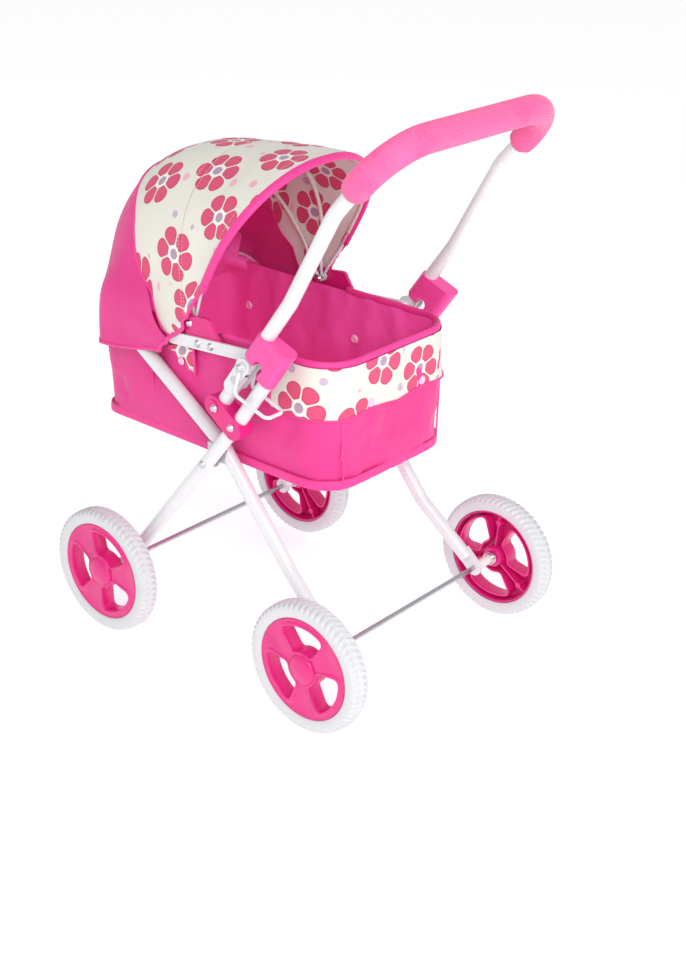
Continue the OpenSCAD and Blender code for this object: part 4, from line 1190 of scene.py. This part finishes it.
hood_front_cloth = cloth_piece("hood_front_cloth", front_rows, front_flats, printed_cloth)
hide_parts("canopy_front")
area, length, width = sheet_size(front_rows)
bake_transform(hood_front_cloth)

hood_middle_cloth = cloth_piece("hood_middle_cloth", rear_rows, rear_flats, printed_cloth)
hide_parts("canopy_middle")
area, length, width = sheet_size(rear_rows)
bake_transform(hood_middle_cloth)
print("hood sheets: %.3f m2 at the back" % area)

# %% [markdown]
# ## The hood's pink back
# Behind the rear bow the cloth is plain pink. It leaves the bow in line with the hood's curve, drops
# over the frame's cross tube and ends in a double-stitched hem round the head of the bassinet. Each
# strip of it is a smooth curve with a set direction at both ends.

# %% Back panel
def hem_line(count):
    """The hem round the head end, from the near side to the far side: points and outward directions."""
    x0, half, r = -221.0, 118.9, 50.0
    corner = [(-104.0, half - 4.0), (-118.0, half - 0.8), (-160.0, half), (x0 + r, half)]
    corner += [(x0 + r - r * math.sin(a), half - r + r * math.cos(a))
               for a in (math.pi / 2 * i / 8 for i in range(1, 9))]
    line = corner + [(x0 - 0.6, 0.0)]
    line = [Vector((x, -y, 0)) for x, y in line] + [Vector((x, y, 0)) for x, y in reversed(line[:-1])]
    travelled = [0.0]
    for a, b in zip(line, line[1:]):
        travelled.append(travelled[-1] + (b - a).length)
    out = []
    for k in range(count):
        want = travelled[-1] * k / (count - 1)
        i = max(j for j in range(len(line) - 1) if travelled[j] <= want + 1e-6)
        p = line[i].lerp(line[i + 1], (want - travelled[i]) / (travelled[i + 1] - travelled[i]))
        lift = min(1.0, max(0.0, (p.x + 196.0) / 80.0))
        p.z = 321.0 + 14.0 * lift ** 1.5
        out.append(p)
    return out


def clear_of_tube(q):
    """Moves a point of the panel's side out past the rear leg's tube, which runs under it."""
    low = min(1.0, max(0.0, (410.0 - q.z) / 32.0))
    side = min(1.0, max(0.0, (abs(q.y) - 98.0) / 12.0))
    more = max(0.0, 118.9 - abs(q.y)) * low * low * (3 - 2 * low) * side
    return q + Vector((0, math.copysign(more, q.y), 0))


top_edge = rear_rows[-1][3:-3]
spread = [0.0]
for a, b in zip(top_edge, top_edge[1:]):
    spread.append(spread[-1] + (b - a).length)
hem_dense = hem_line(401)
panel_columns = []
for p, s in zip(top_edge, spread):
    d = p - PIVOT
    a = math.atan2(d.z, d.x)
    h = hem_dense[min(400, max(0, round(400 * s / spread[-1])))]
    gap_length = (h - p).length
    leave = Vector((-math.sin(a), 0.10 * (1 if p.y > 0 else -1) * min(1.0, abs(p.y) / 60.0),
                    math.cos(a))).normalized()
    p1, p2 = p + leave * gap_length * 0.36, h + Vector((0, 0,
        max(gap_length * 0.42, min(62.0, gap_length * 0.55))))
    column = []
    for k in range(25):
        t = k / 24
        column.append((1 - t) ** 3 * p + 3 * (1 - t) ** 2 * t * p1 + 3 * (1 - t) * t ** 2 * p2 + t ** 3 * h)
    panel_columns.append(column)
panel_rows, panel_flats = [], []
for k in range(25):
    row, flat_row = [], []
    for i, column in enumerate(panel_columns):
        q = column[k]
        away = Vector((q.x + 140.0, q.y, 0)).normalized()
        fade = math.sin(math.pi * k / 24) ** 0.8
        fold = (noise.noise(Vector((spread[i] / 34.0, k / 11.0, 31.0))) * 2.4 + 1.1) * fade
        pleat = noise.noise(Vector((spread[i] / 9.0, k / 16.0, 37.0))) * 0.9 * (k / 24) ** 1.5
        row.append(clear_of_tube(q) + away * (fold + pleat))
        flat_row.append((spread[i] * MM, k * 0.0072))
    panel_rows.append(row)
    panel_flats.append(flat_row)
back_panel = cloth_piece("hood_back_panel", panel_rows, panel_flats, pink_cloth, 0.0009)
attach(back_panel, "rear_frame")
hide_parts("hood_rear_panel")
area, length, width = sheet_size(panel_rows)
print("back panel: %.3f m2" % area)

# %% [markdown]
# ## Tapes, seams and stitches on the hood
# A broad pink tape is folded over the front bow, and the lower edge of each side has a narrow one that
# waves a little. The bows run in casings, which show as two fine rows of stitches, and a piped seam
# joins the print to the pink back.

# %% Front tape and lower tapes
front_edge = [on_bow(61.4, r - 2.2, y * 0.985) for r, y in profile(61.4, 50.0)]
bm = bmesh.new()
tube(bm, as_path(front_edge), 1.0, 16, lobes=oval(5.0, 3.1), normal=(0.88, 0, -0.47))
finish(bm, "hood_front_tape", binding_cloth, "hood_front")


def waved(points, amount, pitch, seed):
    """A tape's path that waves up and down a little."""
    travelled, out = 0.0, []
    for a, b in zip(points, points[1:] + [points[-1]]):
        out.append(a + Vector((0, 0, amount * math.sin(travelled / pitch * math.tau)
                               + noise.noise(Vector((travelled / 9.0, seed, 0))))))
        travelled += (b - a).length
    return out


for label, end in (("near", 0), ("far", -1)):
    for part, rows, bodies, middle in (("front", front_rows, ("hood_middle", "hood_front"), 79.5),
                                       ("rear", rear_rows, ("rear_frame", "hood_middle"), 114.5)):
        edge = [row[end] for row in rows]
        if part == "rear":
            columns = [row[end] for row in panel_rows[3::3]]
            edge += [rows[-1][k if end == 0 else -1 - k] for k in (1, 2, 3)] + columns
        path = waved(edge, 0.9, 8.5, 3.0)
        bm = bmesh.new()
        tube(bm, as_path(path), 1.0, 10, lobes=oval(2.3, 1.2), normal=(0, 0, 1))
        tape = finish(bm, "hood_%s_tape_%s" % (part, label), binding_cloth, None)
        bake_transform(tape)

# %% Seams and stitches
seam_path = [p + Vector((-0.3, 0, 0.5)) for p in top_edge]
bm = bmesh.new()
tube(bm, as_path(seam_path), 1.25, 10)
finish(bm, "hood_back_seam", binding_cloth, "rear_frame")

cream_thread, tree, sockets = new_material("Cream sewing thread", Roughness=0.6)
where = put(tree, "ShaderNodeTexCoord").outputs["Object"]
tree.links.new(mix(tree, use_group(tree, worn, {"Vector": where, "Scale": 900.0})["Height"],
                   srgb(246, 240, 228),
                   srgb(226, 216, 204)), sockets["Base Color"])
for label, theta, body, rows in (("front", 66.0, "hood_front", front_rows),
                                 ("middle_a", 95.2, "hood_middle", front_rows)):
    k = min(range(len(rows)), key=lambda j: abs(60.6 + 36.4 * j / 22 - theta))
    line = [p + (p - PIVOT).normalized() * 0.45 for p in rows[k]]
    stitches("hood_stitches_" + label, line, cream_thread, body, length=2.4, space=1.3,
             radius=0.15)
stitches("hood_stitches_middle_b", [p + (p - PIVOT).normalized() * 0.45 for p in rear_rows[1]],
         cream_thread, "hood_middle",
         length=2.4, space=1.3, radius=0.24)
for label, k in (("upper", 22), ("lower", 23)):
    line = []
    for p in panel_rows[k]:
        line.append(p + Vector((p.x + 140.0, p.y, 0)).normalized() * 0.5)
    stitches("back_hem_stitches_" + label, line, thread_cloth, "rear_frame", length=2.4,
             space=1.4, radius=0.24)
bm = bmesh.new()
tube(bm, as_path(panel_rows[-1]), 1.0, 12, lobes=oval(2.0, 1.2), normal=(0, 0, 1))
finish(bm, "back_hem_roll", binding_cloth, "rear_frame")
print("hood trims done")

# %% [markdown]
# ## Inside the hood
# Each bow runs in a casing of cloth, open only for its last few centimetres above the bracket. The
# middle and rear wires are drawn anew, because the cloth holds them lower and higher than the solids
# have them. At the head end a pink sleeve of the lining goes up round the cross tube. Under each side
# rail hangs the small printed corner in which the hood's cloth ends.

# %% Casings, head lining and corner flaps
casing_cloth = cloth_finish("Cream casing cloth", srgb(232, 222, 212), srgb(220, 206, 196), rough=0.6)
# each bow's name, angle, radius at the top, half width and body
CASED_BOWS = (("front", 62.0, 191.6, 110.4, "hood_front"),
              ("middle", 97.0, 164.4, 107.6, "hood_middle"),
              ("rear", 131.0, 179.0, 104.6, "rear_frame"))
CASING_LOW = 62.0      # the casings end this far from the pivot
WIRE_R = 1.7
# the wires' feet by the brackets, and how far a wire has spread towards its casing at each radius
WIRE_FOOT = {"middle": 100.6, "rear": 96.2}
WIRE_SPREAD = ((-4.0, 0), (14.0, 0.03), (24.0, 0.25), (34.0, 0.6), (44.0, 0.88), (54.0, 1.0))
for label, theta, radius, half, body in CASED_BOWS:
    rc = 0.94 * half
    side = [(CASING_LOW + (radius - rc - CASING_LOW) * i / 8, half) for i in range(9)]
    side += [(radius - rc + rc * math.sin(a), half - rc + rc * math.cos(a))
             for a in (math.pi / 2 * i / 24 for i in range(1, 25))]
    arch = [on_bow(theta, r, -y) for r, y in side] + [on_bow(theta, r, y) for r, y in reversed(side[:-1])]
    bm = bmesh.new()
    tube(bm, as_path(arch), 1.0, 14, lobes=oval(2.6, 2.05), normal=on_bow(theta, 1, 0) - PIVOT)
    finish(bm, "bow_casing_" + label, casing_cloth, body)
    if label in WIRE_FOOT:
        foot_y = WIRE_FOOT[label]
        wire = [(r, foot_y + (half - foot_y) * share) for r, share in WIRE_SPREAD] + side
        near_half = [on_bow(theta, r, -y) for r, y in wire]
        far_half = [on_bow(theta, r, y) for r, y in reversed(wire[:-1])]
        bm = bmesh.new()
        tube(bm, as_path(near_half + far_half), WIRE_R, 14)
        finish(bm, label + "_bow_wire", white_paint, body, ["hood_bow_" + label])

sleeve_rows = [(344.0, -0.8), (350.0, 0.6), (355.0, 4.4), (360.0, 10.5), (365.0, 14.6), (371.0, 16.6),
               (377.0, 15.4), (383.0, 11.0), (388.0, 6.0), (394.0, 1.2), (399.0, -3.0)]
lining_points, lining_lengths = tub_outline(-4.4, 4.0)
round_head = [(p, n, s if s < lining_lengths[-1] / 2 else s - lining_lengths[-1])
              for (p, n), s in zip(lining_points, lining_lengths) if p.x < -186.0]
round_head.sort(key=lambda entry: entry[2])
round_head = [e for e, f in zip(round_head, round_head[1:] + [None]) if f is None or f[2] - e[2] > 0.01]
rows, flats = [], []
for j, (z, inset) in enumerate(sleeve_rows):
    row, flat_row = [], []
    for p, n, s in round_head:
        crease = noise.noise(Vector((s / 7.0, j / 5.0, 51.0))) * 0.9
        end = min(1.0, max(0.0, (-186.0 - p.x) / 14.0))
        row.append(p - n * (inset * end + crease) + Vector((0, 0, z)))
        flat_row.append((s * MM, j * 0.0065))
    rows.append(row)
    flats.append(flat_row)
head_sleeve = cloth_piece("lining_head_sleeve", rows, flats, lit_lining_cloth, 0.0008)
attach(head_sleeve, "rear_frame")
area, length, width = sheet_size(rows)
stitches("lining_sleeve_stitches", [q + Vector((0.9, 0, 0)) for q in rows[1]], thread_cloth, "rear_frame",
         length=2.4, space=1.4, radius=0.24)

for label, side in (("near", -1), ("far", 1)):
    bm = bmesh.new()
    wrapped = round_path([(-206, side * 40, 371), (-206, side * 108.5, 371), (-166, side * 109.4, 345.7)],
                         [0, 45, 0])
    tube(bm, wrapped, lambda share: 8.9 + 0.4 * math.sin(share * 41.0), 20)
    finish(bm, "lining_corner_sleeve_" + label, lit_lining_cloth, "rear_frame")
    rows, flats = [], []
    for j in range(9):
        row, flat_row = [], []
        for i in range(15):
            u, v = i / 14, j / 8
            x = -105.0 + 39.0 * u
            top = 338.5 + 12.0 * u
            low = 336.5 - 23.5 * u - 1.3 * math.sin(u * 19.0)
            wave = 1.1 * noise.noise(Vector((u * 2.2, v * 1.6, 60.0 + side))) + 0.5 * math.sin(u * 19.0) * v
            row.append(Vector((x - 1.5 * v * (1 - u), side * (105.6 - 1.4 * v + wave),
                               top + (low - top) * v)))
            flat_row.append((0.039 * u + 0.004 * side, -0.037 * v * (0.05 + u) + 0.012))
        rows.append(row)
        flats.append(flat_row)
    flap = cloth_piece("hood_corner_flap_" + label, rows, flats, printed_cloth, 0.0006, 0)
    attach(flap, "rear_frame")
    area, length, width = sheet_size(rows)
    bm = bmesh.new()
    tube(bm, as_path(rows[-1] + [row[-1] for row in reversed(rows[:-1])]), 1.0, 10, lobes=oval(1.5, 0.9),
         normal=(0, 0, 1))
    finish(bm, "corner_flap_tape_" + label, binding_cloth, "rear_frame")
    stud("corner_flap_stud_" + label, Vector((-84.5, side * 106.0, 325.5)), (0, side, 0), "rear_frame",
         3.4, 1.6)
print("inside of the hood done")
